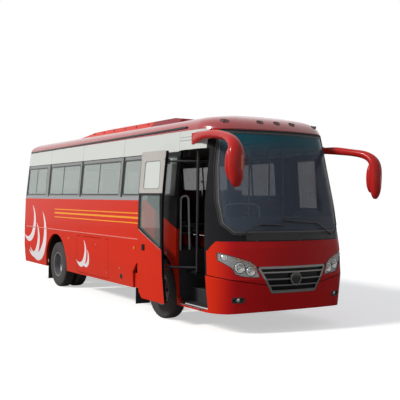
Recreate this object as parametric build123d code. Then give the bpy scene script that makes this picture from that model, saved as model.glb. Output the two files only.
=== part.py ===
from build123d import *
from math import atan2, cos, degrees, radians, sin, sqrt
from functools import lru_cache
import os

# A mid-size front-engined coach, in millimetres. Forward is -Y, the entry door is on the -X side.
# All Y values below are measured from the front axle; save() moves them to the middle of the length.

# Overall size
HALF_WIDTH = 1240
WHEELBASE = 4800
NOSE_Y = -2020
TAIL_Y = 7240
FRONT_REACH_Y = -2500
MIDDLE_Y = (FRONT_REACH_Y + TAIL_Y) / 2

# Heights of the body's lines
SKIRT_Z = 300
NOSE_Z = 800
CREASE_Z = 1250
BELT_Z = 1925
EAVES_Z = 3020
ROOF_Z = 3262
FLOOR_Z = 950
SIDE_SILL_Z = 400

# Wall thicknesses and gaps
WALL = 50
ROOF_WALL = 60
PANEL = 26
FLOOR_PLATE = 30
GLASS = 6
GLASS_RECESS = 6
SEAT_GAP = 0.3
DOOR_GAP = 12
LID_GAP = 8
RUN_GAP = 0.08

# Body sections: height, inset of each side, setback of the front, setback of the rear, front corner radius
SECTIONS = [
    (SKIRT_Z, 28, 42, 50, 420),
    (NOSE_Z, 0, 0, 0, 420),
    (CREASE_Z, 0, 38, 0, 430),
    (BELT_Z, 15, 176, 20, 455),
    (EAVES_Z, 110, 415, 110, 500),
]
# Roof sections, in the same columns
ROOF_SECTIONS = [
    (EAVES_Z, 110, 415, 110, 500),
    (EAVES_Z + 95, 140, 485, 160, 480),
    (EAVES_Z + 185, 270, 640, 290, 430),
    (ROOF_Z, 590, 880, 600, 300),
]
GUTTER_FRONT = (-700, EAVES_Z + 42)
GUTTER_REAR = (6800, EAVES_Z)
GUTTER_H = 26
# The cooling unit on the roof: its ends on the roof, and the ends of its top
AC_REAR_Y = 4600
AC_TOP_REAR = (3960, ROOF_Z + 84)
AC_TOP_FRONT = (1250, ROOF_Z + 124)
AC_COWL_MIDDLE = (620, ROOF_Z + 104)
AC_FRONT_Y = -150
AC_HALF = 790
AC_SLOPE = 120
AC_CROWN = 30
AC_SKIRT = 60
# Roof marker lamps: X and Y
ROOF_LAMPS = [(-855, -1360), (-306, -1484), (0, -1500), (306, -1484), (855, -1360)]
ROOF_LAMP_Z = EAVES_Z + 118
ROOF_LAMP_SIZE = (90, 40, 36)
FRONT_BOW = 2900
REAR_BOW = 6500
REAR_CORNER = 200

# Lengths along the body
BUMPER_BACK_Y = -1310
MASK_SPLIT_Y = -510
REAR_SPLIT_Y = 6870

# Side windows: rear edge, front edge and the pane divider, along Y, then lower and upper edge
WINDOW_LOW = 2010
WINDOW_TOP = 2640
WINDOWS = [
    (6845, 5550, 6240),
    (5310, 3550, 4500),
    (3410, 1600, 2560),
    (1440, 30, 790),
]
SMALL_PANE = (-120, -480)
DRIVER_PANE = (-560, -1090)
DRIVER_PANE_LOW = 1800
FRAME_BAR = 26
WINDOW_CORNER = 45

# Entry door: rear and front jamb at the sill and at the head
DOOR_SILL_Z = 335
DOOR_HEAD_Z = 2725
DOOR_REAR_LOW = -600
DOOR_REAR_HIGH = -565
DOOR_FRONT_LOW = -1500
DOOR_FRONT_HIGH = -1325
LEAF_THICK = 38
DOOR_CHAMFER = 110
DOOR_OUT = 300
DOOR_BACK = 760
POST_X = -1005
POST_Y = -840
POST_LOW = 785
POST_TOP = 2800
POST_R = 24
PIVOT_CLOSED_X = -1060
ARM_Z = (895, 2545)
ARM_R = 17
PIVOT_PIN_R = 11
EYE_R = 26
EYE_H = 44
# The panes of the leaf, seen from the side at the closed place: (y, z) points and corner radius
LEAF_PANES = [
    ([(-730, 2120), (-730, 2550), (-1220, 2550), (-1260, 2120)], 50),
    ([(-655, 1500), (-650, 2010), (-1310, 2010), (-1385, 1200)], 30),
]

# Openings in the front, as (x, z) points
WINDSCREEN = [
    (-960, 1450), (960, 1450), (1110, 1600), (1128, 1950), (1080, 2460), (985, 3000),
    (-985, 3000), (-1080, 2460), (-1128, 1950), (-1110, 1600),
]
WINDSCREEN_CORNER = 55
HEADLAMP = [
    (-1170, 1190), (-924, 1117), (-740, 1056), (-660, 995), (-611, 832), (-850, 848),
    (-965, 885), (-1010, 975), (-1165, 1080),
]
LAMP_GLASS = 5
# Reflectors behind the headlamp glass: x, z, radius
REFLECTORS = [(-895, 975, 82), (-735, 925, 74), (-1090, 1118, 38)]
GRILLE = [(-650, 985), (650, 985), (410, 590), (-410, 590)]
GRILLE_DEPTH = 40
GRILLE_EDGE = 34
# Grille bars: height of the middle and half thickness
GRILLE_BARS = [(897, 10), (796, 10), (704, 10), (606, 26)]
BADGE_Z = 800
BADGE_R = 98
BADGE_RING = 14
FOG_LAMP_X = 910
FOG_LAMP_Z = 505
FOG_LAMP_W = 165
FOG_LAMP_H = 70
BUMPER_SEAM = [(-1300, 870), (-1060, 810), (-530, 726), (530, 726), (1060, 810), (1300, 870)]
SEAM_W = 5
SEAM_DEPTH = 9
CHIN_HALF = 1050
CHIN_RISE = 30
SPRAY_Y = -2600
# Wipers: (x, z) of the pivot, of the elbow and of the tip
WIPERS = [((-880, 1440), (-555, 1600), (-170, 1590)), ((830, 1440), (520, 1610), (-150, 1660))]
WIPER_R = 9
WIPER_PIVOT_R = 15
WIPER_GAP = 24

# The rear end
REAR_BUMPER_TOP = 720
REAR_WINDOW = [(-880, 2000), (880, 2000), (850, 2640), (-850, 2640)]
REAR_WINDOW_CORNER = 90
BOOT_LID = [(-760, 760), (760, 760), (760, 1560), (-760, 1560)]
BOOT_LID_CORNER = 40
# Tail lamps: inner and outer X, lower and upper Z
TAIL_LAMPS = [(880, 1090, 1060, 1560)]

# Horn mirrors: sections from the root to the tip, each x, y, z, half width, half thickness
DOOR_MIRROR = [
    (-1130, -940, 2884, 40, 84),
    (-1175, -1180, 2900, 46, 74),
    (-1220, -1500, 2903, 50, 62),
    (-1265, -1850, 2875, 56, 61),
    (-1312, -2150, 2812, 68, 64),
    (-1342, -2345, 2710, 96, 74),
    (-1356, -2412, 2570, 122, 80),
    (-1359, -2418, 2400, 122, 78),
    (-1357, -2416, 2260, 104, 74),
    (-1353, -2412, 2170, 72, 56),
    (-1350, -2410, 2130, 26, 22),
]
DRIVER_MIRROR = [
    (1085, -1290, 2775, 40, 60),
    (1175, -1450, 2768, 44, 59),
    (1290, -1650, 2746, 48, 58),
    (1385, -1835, 2716, 56, 58),
    (1455, -1990, 2664, 76, 66),
    (1492, -2085, 2570, 102, 72),
    (1504, -2118, 2440, 108, 74),
    (1505, -2120, 2280, 106, 74),
    (1503, -2118, 2130, 92, 68),
    (1500, -2115, 2030, 58, 48),
    (1498, -2113, 1988, 20, 18),
]
# The lobe that holds the glass: x, y, z of its middle, then its half sizes
MIRROR_LOBES = [
    ((-1392, -2345, 2450), (92, 70, 235)),
    ((1470, -2045, 2320), (84, 66, 235)),
]
MIRROR_GLASS = 5
MIRROR_RECESS = 8
MIRROR_GLASS_SHARE = 0.75

# Wheels
TYRE_R = 487
TYRE_W = 240
RIM_R = 254
TRACK_X = 1068
TWIN_PITCH = 298
KINGPIN_X = 925
SPINDLE_R = 40
ARCH_FRONT_R = 590
ARCH_TAIL_Y = 957
ARCH_TAIL_Z = 840
ARCH_TAIL_CORNER = 160
ARCH_REAR_R = 640
ARCH_Z = 520
HOUSE_INNER_X = 600
HOUSE_FRONT = 567
HOUSE_REAR = 660
HOUSE_TOP = 1150
SHEET = 8
KINGPIN_R = 20
FRONT_SPINDLE_END = 1190
HUB_IN = 640
HUB_BORE = 82
HAND_HOLES = 8
AXLE_END = 1010
FLAP_LOW = 110

# The step well inside the entry door
STEP_FRONT_Y = -1490
STEP_REAR_Y = -575
STEP_INNER_X = -480
STEP_HEIGHTS = (360, 560, 760)

# Chassis
RAIL_X = 430
RAIL_W = 75
RAIL_TOP = 840
RAIL_H = 210
SPRING_W = 80
SPRING_LEAVES = 5
LEAF_T = 13
RAIL_FRONT = -1750
RAIL_REAR = 6900
CROSS_MEMBERS = (-1650, 700, 2200, 3900, 5900, 6700)
CROSS_MEMBER_W = 80
CROSS_MEMBER_H = 70
BEARERS = (-1650, 750, 1980, 2750, 3600, 5560, 6200, 6850)
BEARER_W = 60
ENGINE_HOLE = (-400, 420, -1750, -300)
SHAFT_R = 40
EXHAUST_X = 250
EXHAUST_Z = 600

# Luggage doors: side, rear end and front end along Y
LID_HINGE_R = LID_GAP / 2 - SEAT_GAP
BAY_LOW = 440
BAY_HIGH = 1190
LUGGAGE_DOORS = [
    ("luggage_door_left", -1, 3550, 2000),
    ("luggage_door_right", 1, 3550, 2000),
]
BAY_DEPTH = 620
HINGE_X = HALF_WIDTH
HINGE_Z = BAY_HIGH - LID_GAP / 2
HINGE_LEN = 160
LID_HINGE_Y = TAIL_Y - 9
LID_HINGE_Z = BOOT_LID[2][1] - LID_GAP / 2

# Seats
SEAT_PITCH = 745
SEAT_ROWS = 8
SEAT_FIRST_Y = 930
SEAT_W = 440
SEAT_BASE_Z = FLOOR_Z + 430
SEAT_TOP_Z = FLOOR_Z + 1200
SEAT_X = (-930, -480, 480, 930)
PEDESTAL_X = 705
RACK_Z = 2720
DASH = [(-1900, 1290), (-1450, 1290), (-1420, 1640), (-1560, 1700), (-1900, 1700)]
DRIVER = (640, -830, FLOOR_Z + 330)
RAIL_PIPE_R = 16
# Side marker lamps: y, z
SIDE_LAMPS = [(884, 1100), (4000, 1100)]
MARKER_R = 24


def block(x0, x1, y0, y1, z0, z1):
    """A box between six planes."""
    size = Box(abs(x1 - x0), abs(y1 - y0), abs(z1 - z0))
    return Pos((x0 + x1) / 2, (y0 + y1) / 2, (z0 + z1) / 2) * size


def outline(points, radius=0):
    """A closed face with straight edges, its corners rounded by one radius."""
    face = make_face(Polyline(*points, close=True))
    return fillet(face.vertices(), radius) if radius else face


def along_x(points, x0, x1, radius=0):
    """An outline of (y, z) points, run along X."""
    face = Plane.YZ * outline(points, radius)
    return Pos(min(x0, x1), 0, 0) * extrude(face, abs(x1 - x0))


def along_y(points, y0, y1, radius=0):
    """An outline of (x, z) points, run along Y."""
    face = Plane.XZ * outline(points, radius)
    return Pos(0, max(y0, y1), 0) * extrude(face, abs(y1 - y0))


def rod(start, end, radius):
    """A round bar between two points."""
    line = Vector(*end) - Vector(*start)
    bar = Cylinder(radius, line.length, align=(Align.CENTER, Align.CENTER, Align.MIN))
    return Plane(origin=start, z_dir=line) * bar


def pipe(points, bend=0):
    """A bent handrail along a list of points."""
    line = FilletPolyline(*points, radius=bend) if bend else Line(*points)
    start = Plane(origin=points[0], z_dir=line % 0)
    return sweep(start * Circle(RAIL_PIPE_R), path=line)


def axle_disc(x0, x1, radius, y=0, z=TYRE_R):
    """A round disc or shaft along X."""
    return rod((x0, y, z), (x1, y, z), radius)


def mirrored(shape):
    """The same shape on the other side of the vehicle."""
    return shape.mirror(Plane.YZ)


def section_at(z):
    """The body's section values at one height, between two rows of the table."""
    for low, high in zip(SECTIONS, SECTIONS[1:]):
        if z <= high[0]:
            share = (z - low[0]) / (high[0] - low[0])
            return [a + (b - a) * share for a, b in zip(low, high)]
    return list(SECTIONS[-1])


def half_at(z):
    """Half of the body's width at one height."""
    return HALF_WIDTH - section_at(z)[1]


def nose_at(x, z):
    """The front skin's Y at one height, across the bowed part."""
    centre = NOSE_Y + section_at(z)[2] + FRONT_BOW
    return centre - sqrt(FRONT_BOW ** 2 - x ** 2)


def end_arcs(half, end_y, bow, corner, sign):
    """Corner centre and the two tangent points of one bowed end; sign is -1 at the front."""
    centre_y = end_y - sign * bow
    corner_x = half - corner
    corner_y = centre_y + sign * sqrt((bow - corner) ** 2 - corner_x ** 2)
    scale = bow / (bow - corner)
    tangent = (corner_x * scale, centre_y + (corner_y - centre_y) * scale)
    angle = atan2(tangent[1] - corner_y, tangent[0] - corner_x) / 2
    middle = (corner_x + corner * cos(angle), corner_y + corner * sin(angle))
    return (half, corner_y), middle, tangent


def plan(section, inset=0, drop=0):
    """The body's outline in plan at one section, moved inward by the inset."""
    z, side_inset, setback, rear_setback, corner = section
    half = HALF_WIDTH - side_inset - inset
    front_y = NOSE_Y + setback + inset
    rear_y = TAIL_Y - rear_setback - inset
    side_f, mid_f, tan_f = end_arcs(half, front_y, FRONT_BOW - inset, corner - inset, -1)
    side_r, mid_r, tan_r = end_arcs(half, rear_y, REAR_BOW - inset, REAR_CORNER - inset, 1)
    height = z - drop

    def at(point, side=1):
        return (point[0] * side, point[1], height)

    edges = [
        ThreePointArc(at(tan_f, -1), (0, front_y, height), at(tan_f)),
        ThreePointArc(at(tan_f), at(mid_f), at(side_f)),
        Line(at(side_f), at(side_r)),
        ThreePointArc(at(side_r), at(mid_r), at(tan_r)),
        ThreePointArc(at(tan_r), (0, rear_y, height), at(tan_r, -1)),
        ThreePointArc(at(tan_r, -1), at(mid_r, -1), at(side_r, -1)),
        Line(at(side_r, -1), at(side_f, -1)),
        ThreePointArc(at(side_f, -1), at(mid_f, -1), at(tan_f, -1)),
    ]
    return Wire(edges)


@lru_cache(maxsize=None)
def body_form(inset):
    """The body below the roof, as one solid at some depth under the skin."""
    return Solid.make_loft([plan(section, inset) for section in SECTIONS], ruled=True)


def side_slab(outer, inner, front_y, low=SIDE_SILL_Z):
    """The straight wall of the -X side between two depths under its surface."""
    heights = [low] + [row[0] for row in SECTIONS if row[0] > low]
    outside = [(outer - half_at(z), z) for z in heights]
    inside = [(inner - half_at(z), z) for z in reversed(heights)]
    return along_y(outside + inside, front_y, REAR_SPLIT_Y)


def skin(outer, inner, shape):
    """The part of a shape that lies between two depths under the body's surface."""
    return (shape & body_form(outer)) - body_form(inner)


def save(name, *shapes):
    """Writes one piece, moved to the middle of the overall length."""
    placed = [Pos(0, -MIDDLE_Y, 0) * shape for shape in shapes]
    solids = [solid for shape in placed for solid in shape.solids()]
    assert solids, name
    export_step(Compound(children=solids), f"parts/{name}.step")


def door_outline(gap):
    """The entry opening seen from the side, made smaller by the gap."""
    return [
        (DOOR_REAR_LOW - gap, DOOR_SILL_Z + DOOR_CHAMFER),
        (DOOR_REAR_LOW - DOOR_CHAMFER, DOOR_SILL_Z + gap),
        (DOOR_FRONT_LOW + gap, DOOR_SILL_Z + gap),
        (DOOR_FRONT_HIGH + gap, DOOR_HEAD_Z - gap),
        (DOOR_REAR_HIGH - gap, DOOR_HEAD_Z - gap),
    ]


def door_prism(gap, x0=-1400, x1=-900):
    """The entry opening as a solid that runs through the wall."""
    return along_x(door_outline(gap), x0, x1, 30)


def front_prism(points, gap=0, radius=0, y0=SPRAY_Y, y1=-1200):
    """An outline of (x, z) points, made smaller by a gap and run through the front."""
    face = outline(points, radius)
    if gap:
        face = offset(face, -gap)
    return Pos(0, y1, 0) * extrude(Plane.XZ * face, y1 - y0)


def fog_slot(side, gap):
    """One fog lamp's opening, round-ended, made smaller by the gap and run through the front."""
    face = SlotOverall(FOG_LAMP_W - 2 * gap, FOG_LAMP_H - 2 * gap)
    return Pos(side * FOG_LAMP_X, BUMPER_BACK_Y, FOG_LAMP_Z) * extrude(Plane.XZ * face, BUMPER_BACK_Y - SPRAY_Y)


def arches():
    """The four wheel openings, as cylinders along X."""
    cuts = []
    for centre_y, radius in ((0, ARCH_FRONT_R), (WHEELBASE, ARCH_REAR_R)):
        for side in (-1, 1):
            ring = axle_disc(side * HOUSE_INNER_X, side * (HALF_WIDTH + 100), radius, centre_y, ARCH_Z)
            foot = block(side * HOUSE_INNER_X, side * (HALF_WIDTH + 100), centre_y - radius, centre_y + radius,
                         0, ARCH_Z)
            cut = ring + foot
            if centre_y == 0:
                tail = [(centre_y, 0), (ARCH_TAIL_Y, 0), (ARCH_TAIL_Y, ARCH_TAIL_Z - ARCH_TAIL_CORNER),
                        (ARCH_TAIL_Y - ARCH_TAIL_CORNER, ARCH_TAIL_Z), (centre_y, ARCH_TAIL_Z)]
                cut += along_x(tail, side * (HALF_WIDTH - WALL - SHEET), side * (HALF_WIDTH + 100))
            cuts.append(cut)
    return cuts


def window_box(rear, front, gap, low=WINDOW_LOW, top=WINDOW_TOP):
    """One side window's opening, made smaller by the gap, on the -X side."""
    points = [(rear - gap, low + gap), (rear - gap, top - gap), (front + gap, top - gap),
              (front + gap, low + gap)]
    return along_x(points, -HALF_WIDTH - 100, -900, WINDOW_CORNER - gap / 2)


def bay_box(side, rear, front, gap, x_in, x_out):
    """A luggage door's outline as a box, made smaller by the gap."""
    return block(side * x_in, side * x_out, front + gap, rear - gap, BAY_LOW + gap, BAY_HIGH - gap)


def hinge_barrels(side, rear, front):
    """Hinge barrels along the upper edge of a luggage opening, joined to the wall above it."""
    barrels = []
    for y in (front + 250, rear - 250):
        barrel = rod((side * HINGE_X, y - HINGE_LEN / 2, HINGE_Z), (side * HINGE_X, y + HINGE_LEN / 2, HINGE_Z),
                     LID_HINGE_R)
        web = block(side * (HINGE_X - 3), side * HINGE_X, y - HINGE_LEN / 2, y + HINGE_LEN / 2, HINGE_Z,
                    BAY_HIGH + 1)
        barrels.append(barrel + web)
    return barrels


def make_body():
    """The skin in the pieces that the real body is joined from."""
    shell = body_form(0) - body_form(WALL)
    far = HALF_WIDTH + 200
    front_zone = block(-far, far, SPRAY_Y, MASK_SPLIT_Y, 0, EAVES_Z + 1)
    rear_zone = block(-far, far, REAR_SPLIT_Y, TAIL_Y + 100, SIDE_SILL_Z, EAVES_Z + 1)
    windscreen_hole = front_prism(WINDSCREEN, radius=WINDSCREEN_CORNER)
    lamp_hole = front_prism(HEADLAMP)
    grille_hole = front_prism(GRILLE, radius=30) - body_form(GRILLE_DEPTH)
    bumper_zone = along_y(BUMPER_SEAM + [(1300, 200), (-1300, 200)], SPRAY_Y, BUMPER_BACK_Y)
    groove = [(x, z - SEAM_W) for x, z in reversed(BUMPER_SEAM)]
    groove = along_y(BUMPER_SEAM + groove, SPRAY_Y, BUMPER_BACK_Y) - body_form(SEAM_DEPTH)
    chin_arc = ThreePointArc((-CHIN_HALF, SKIRT_Z), (0, SKIRT_Z + CHIN_RISE), (CHIN_HALF, SKIRT_Z))
    chin_face = make_face([chin_arc, Line((CHIN_HALF, SKIRT_Z), (-CHIN_HALF, SKIRT_Z))])
    chin = Pos(0, BUMPER_BACK_Y, 0) * extrude(Plane.XZ * chin_face, BUMPER_BACK_Y - SPRAY_Y)
    door_hole = door_prism(0)
    wheel_cuts = arches()

    front = (shell & front_zone) - door_hole - lamp_hole - mirrored(lamp_hole) - grille_hole
    mask = front - bumper_zone - windscreen_hole - wheel_cuts[0] - wheel_cuts[1]
    mask -= mirrored(window_box(*DRIVER_PANE, 0, low=DRIVER_PANE_LOW))
    bumper = (front & bumper_zone) - groove - chin
    for side in (-1, 1):
        bumper -= fog_slot(side, 0)
    save("front_mask", mask)
    save("front_bumper", bumper)

    for name, side in (("left", -1), ("right", 1)):
        wall = side_slab(0, WALL, MASK_SPLIT_Y)
        for rear, front_end, _ in WINDOWS:
            wall -= window_box(rear, front_end, 0)
        if side < 0:
            wall -= window_box(*SMALL_PANE, 0)
        else:
            wall = mirrored(wall)
        for cut in wheel_cuts:
            wall -= cut
        for _, door_side, rear, front_end in LUGGAGE_DOORS:
            if door_side == side:
                wall -= bay_box(side, rear, front_end, 0, 1100, far)
                for barrel in hinge_barrels(side, rear, front_end):
                    wall += barrel
        save(f"side_wall_{name}", wall)

    rear = shell & rear_zone
    rear -= along_y(REAR_WINDOW, TAIL_Y - 300, TAIL_Y + 100, REAR_WINDOW_CORNER)
    rear -= along_y(BOOT_LID, TAIL_Y - 300, TAIL_Y + 100, BOOT_LID_CORNER)
    for x0, x1, z0, z1 in TAIL_LAMPS:
        rear -= block(x0, x1, TAIL_Y - 300, TAIL_Y + 100, z0, z1)
        rear -= block(-x1, -x0, TAIL_Y - 300, TAIL_Y + 100, z0, z1)
    rear -= block(-far, far, REAR_SPLIT_Y - 1, TAIL_Y + 100, 0, REAR_BUMPER_TOP)
    barrel_ends = [(side * HINGE_LEN / 2, LID_HINGE_Y, LID_HINGE_Z) for side in (-1, 1)]
    rear += rod(*barrel_ends, LID_HINGE_R)
    rear += block(-HINGE_LEN / 2, HINGE_LEN / 2, LID_HINGE_Y - 4, LID_HINGE_Y, LID_HINGE_Z, LID_HINGE_Z + 6)
    save("rear_panel", rear)
    rear_bumper = shell & block(-far, far, REAR_SPLIT_Y, TAIL_Y + 100, SIDE_SILL_Z, REAR_BUMPER_TOP)
    save("rear_bumper", rear_bumper)


def make_glass():
    """Windscreen, side panes with their frames, and the rear window."""
    glass_depths = (GLASS_RECESS, GLASS_RECESS + GLASS)
    frame_depths = (GLASS_RECESS / 2, GLASS_RECESS + 3 * GLASS)
    save("windscreen", skin(*glass_depths, front_prism(WINDSCREEN, SEAT_GAP, WINDSCREEN_CORNER)))
    glass_slab = side_slab(*glass_depths, DRIVER_PANE[1])
    frame_slab = side_slab(*frame_depths, DRIVER_PANE[1])
    glass_slabs = {-1: glass_slab, 1: mirrored(glass_slab)}
    frame_slabs = {-1: frame_slab, 1: mirrored(frame_slab)}
    all_frames = []
    all_panes = []
    for side in (-1, 1):
        openings = [(rear, front, divider, WINDOW_LOW) for rear, front, divider in WINDOWS]
        if side < 0:
            openings.append((*SMALL_PANE, None, WINDOW_LOW))
        else:
            openings.append((*DRIVER_PANE, None, DRIVER_PANE_LOW))
        frames = []
        panes = []
        for rear, front, divider, low in openings:
            outer = window_box(rear, front, SEAT_GAP, low)
            inner = window_box(rear, front, FRAME_BAR, low)
            pane = window_box(rear, front, FRAME_BAR + SEAT_GAP, low)
            ring = outer - inner
            if divider:
                half_bar = FRAME_BAR / 2
                bar = block(-1400, -900, divider - half_bar, divider + half_bar, low, WINDOW_TOP)
                gap_bar = block(-1400, -900, divider - half_bar - SEAT_GAP, divider + half_bar + SEAT_GAP,
                                low, WINDOW_TOP)
                ring += bar & inner
                pane -= gap_bar
            frames.append(ring if side < 0 else mirrored(ring))
            panes.append(pane if side < 0 else mirrored(pane))
        all_frames += [frame_slabs[side] & frame for frame in frames]
        all_panes += [glass_slabs[side] & pane for pane in panes]
    save("window_frames", *all_frames)
    save("side_glass", *all_panes)
    rear_face = offset(outline(REAR_WINDOW, REAR_WINDOW_CORNER), -SEAT_GAP)
    rear_glass = Pos(0, TAIL_Y + 100, 0) * extrude(Plane.XZ * rear_face, 400)
    save("rear_window", skin(*glass_depths, rear_glass))


def dome(inset, drop):
    """The roof's form at some depth under its skin."""
    return Solid.make_loft([plan(row, inset, drop if row[0] > EAVES_Z else 0) for row in ROOF_SECTIONS])


def cooling_unit():
    """The unit's form: a crowned top between sloped sides, and a bowed cowl at the front."""
    low = ROOF_Z - AC_SKIRT
    shoulder = AC_TOP_FRONT[1] - AC_CROWN
    top_half = AC_HALF - AC_SLOPE
    cowl = ThreePointArc(AC_TOP_FRONT, AC_COWL_MIDDLE, (AC_FRONT_Y, ROOF_Z))
    sides = Polyline((AC_FRONT_Y, ROOF_Z), (AC_FRONT_Y, low), (AC_REAR_Y, low), (AC_REAR_Y, ROOF_Z), AC_TOP_REAR,
                     AC_TOP_FRONT)
    side_view = Pos(-AC_HALF, 0, 0) * extrude(Plane.YZ * make_face([cowl, *sides.edges()]), 2 * AC_HALF)
    crown = ThreePointArc((-top_half, shoulder), (0, AC_TOP_FRONT[1] + 1), (top_half, shoulder))
    base = Polyline((top_half, shoulder), (AC_HALF, low), (-AC_HALF, low), (-top_half, shoulder))
    across = Plane.XZ * make_face([crown, *base.edges()])
    front_view = Pos(0, AC_REAR_Y, 0) * extrude(across, AC_REAR_Y - AC_FRONT_Y)
    nose_y = AC_TOP_FRONT[0]
    nose = ThreePointArc((AC_HALF, nose_y), (0, AC_FRONT_Y), (-AC_HALF, nose_y))
    tail = Polyline((-AC_HALF, nose_y), (-AC_HALF, AC_REAR_Y), (AC_HALF, AC_REAR_Y), (AC_HALF, nose_y))
    top_view = Pos(0, 0, low) * extrude(make_face([nose, *tail.edges()]), AC_TOP_FRONT[1] + 10 - low)
    return (side_view & front_view & top_view) - dome(-SEAT_GAP, 0)


def make_roof():
    """The domed roof with its gutters, and the cooling unit on it."""
    roof = dome(0, 0) - dome(ROOF_WALL, ROOF_WALL)
    save("roof", roof)
    (front_y, front_z), (rear_y, rear_z) = GUTTER_FRONT, GUTTER_REAR
    line = [(front_y, front_z), (rear_y, rear_z), (rear_y, rear_z + GUTTER_H), (front_y, front_z + GUTTER_H)]
    gutter_x = half_at(EAVES_Z)
    rail = along_x(line, gutter_x - 60, gutter_x + 16)
    rail -= body_form(-SEAT_GAP)
    rail -= dome(-SEAT_GAP, 0)
    save("gutters", rail, mirrored(rail))
    save("roof_cooling_unit", cooling_unit())
    lamps = [Pos(x, y, ROOF_LAMP_Z) * Box(*ROOF_LAMP_SIZE) for x, y in ROOF_LAMPS]
    return [lamp - dome(-SEAT_GAP, 0) for lamp in lamps]


def house_blocks(gap):
    """The space that each wheel house takes up, larger by a gap."""
    blocks = []
    for centre_y, reach in ((0, HOUSE_FRONT), (WHEELBASE, HOUSE_REAR)):
        for side in (-1, 1):
            blocks.append(block(side * (HOUSE_INNER_X - gap), side * 1300, centre_y - reach - gap,
                                centre_y + reach + gap, 0, HOUSE_TOP + gap))
    return blocks


def make_floor():
    """The floor with its step well, wheel houses and luggage bays."""
    inner = body_form(WALL + SEAT_GAP)
    plate = block(-1300, 1300, NOSE_Y, TAIL_Y, FLOOR_Z - FLOOR_PLATE, FLOOR_Z) & inner
    well = block(-1300, STEP_INNER_X, STEP_FRONT_Y, STEP_REAR_Y, 0, FLOOR_Z + 1)
    plate -= well
    houses = []
    for centre_y, reach, top in ((0, HOUSE_FRONT, HOUSE_TOP), (WHEELBASE, HOUSE_REAR, HOUSE_TOP)):
        for side in (-1, 1):
            outer_x = half_at(FLOOR_Z) - WALL - SEAT_GAP
            hole = block(side * HOUSE_INNER_X, side * 1300, centre_y - reach, centre_y + reach, 0, top)
            plate -= hole
            box = block(side * HOUSE_INNER_X, side * outer_x, centre_y - reach, centre_y + reach,
                        FLOOR_Z - 300, top)
            space = block(side * (HOUSE_INNER_X + SHEET), side * 1300, centre_y - reach + SHEET,
                          centre_y + reach - SHEET, 0, top - SHEET)
            houses.append((box - space) & inner)
    engine_hole = block(ENGINE_HOLE[0], ENGINE_HOLE[1], ENGINE_HOLE[2], ENGINE_HOLE[3], 0, FLOOR_Z + 1)
    save("floor", plate - engine_hole)
    save("wheel_houses", *houses)

    outer_x = -(half_at(NOSE_Z) - WALL - SEAT_GAP)
    tread = (STEP_INNER_X - outer_x) / len(STEP_HEIGHTS)
    well_box = block(outer_x, STEP_INNER_X, STEP_FRONT_Y, STEP_REAR_Y, STEP_HEIGHTS[0] - SHEET, FLOOR_Z)
    for index, height in enumerate(STEP_HEIGHTS):
        x0 = outer_x + tread * index - 1
        x1 = outer_x + tread * (index + 1)
        well_box -= block(x0, min(x1, STEP_INNER_X - SHEET), STEP_FRONT_Y + SHEET, STEP_REAR_Y - SHEET, height,
                          FLOOR_Z + 1)
    save("step_well", well_box & inner)


def arm_geometry():
    """Length of the door arm and its open and closed angles, from the door's travel."""
    closed_dx = PIVOT_CLOSED_X - POST_X
    open_dx = closed_dx - DOOR_OUT
    closed_dy = (closed_dx ** 2 - open_dx ** 2 - DOOR_BACK ** 2) / (2 * DOOR_BACK)
    open_dy = closed_dy + DOOR_BACK
    length = sqrt(closed_dx ** 2 + closed_dy ** 2)
    open_angle = degrees(atan2(open_dy, open_dx))
    closed_angle = degrees(atan2(closed_dy, closed_dx)) % 360
    return length, open_angle, closed_angle


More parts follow.
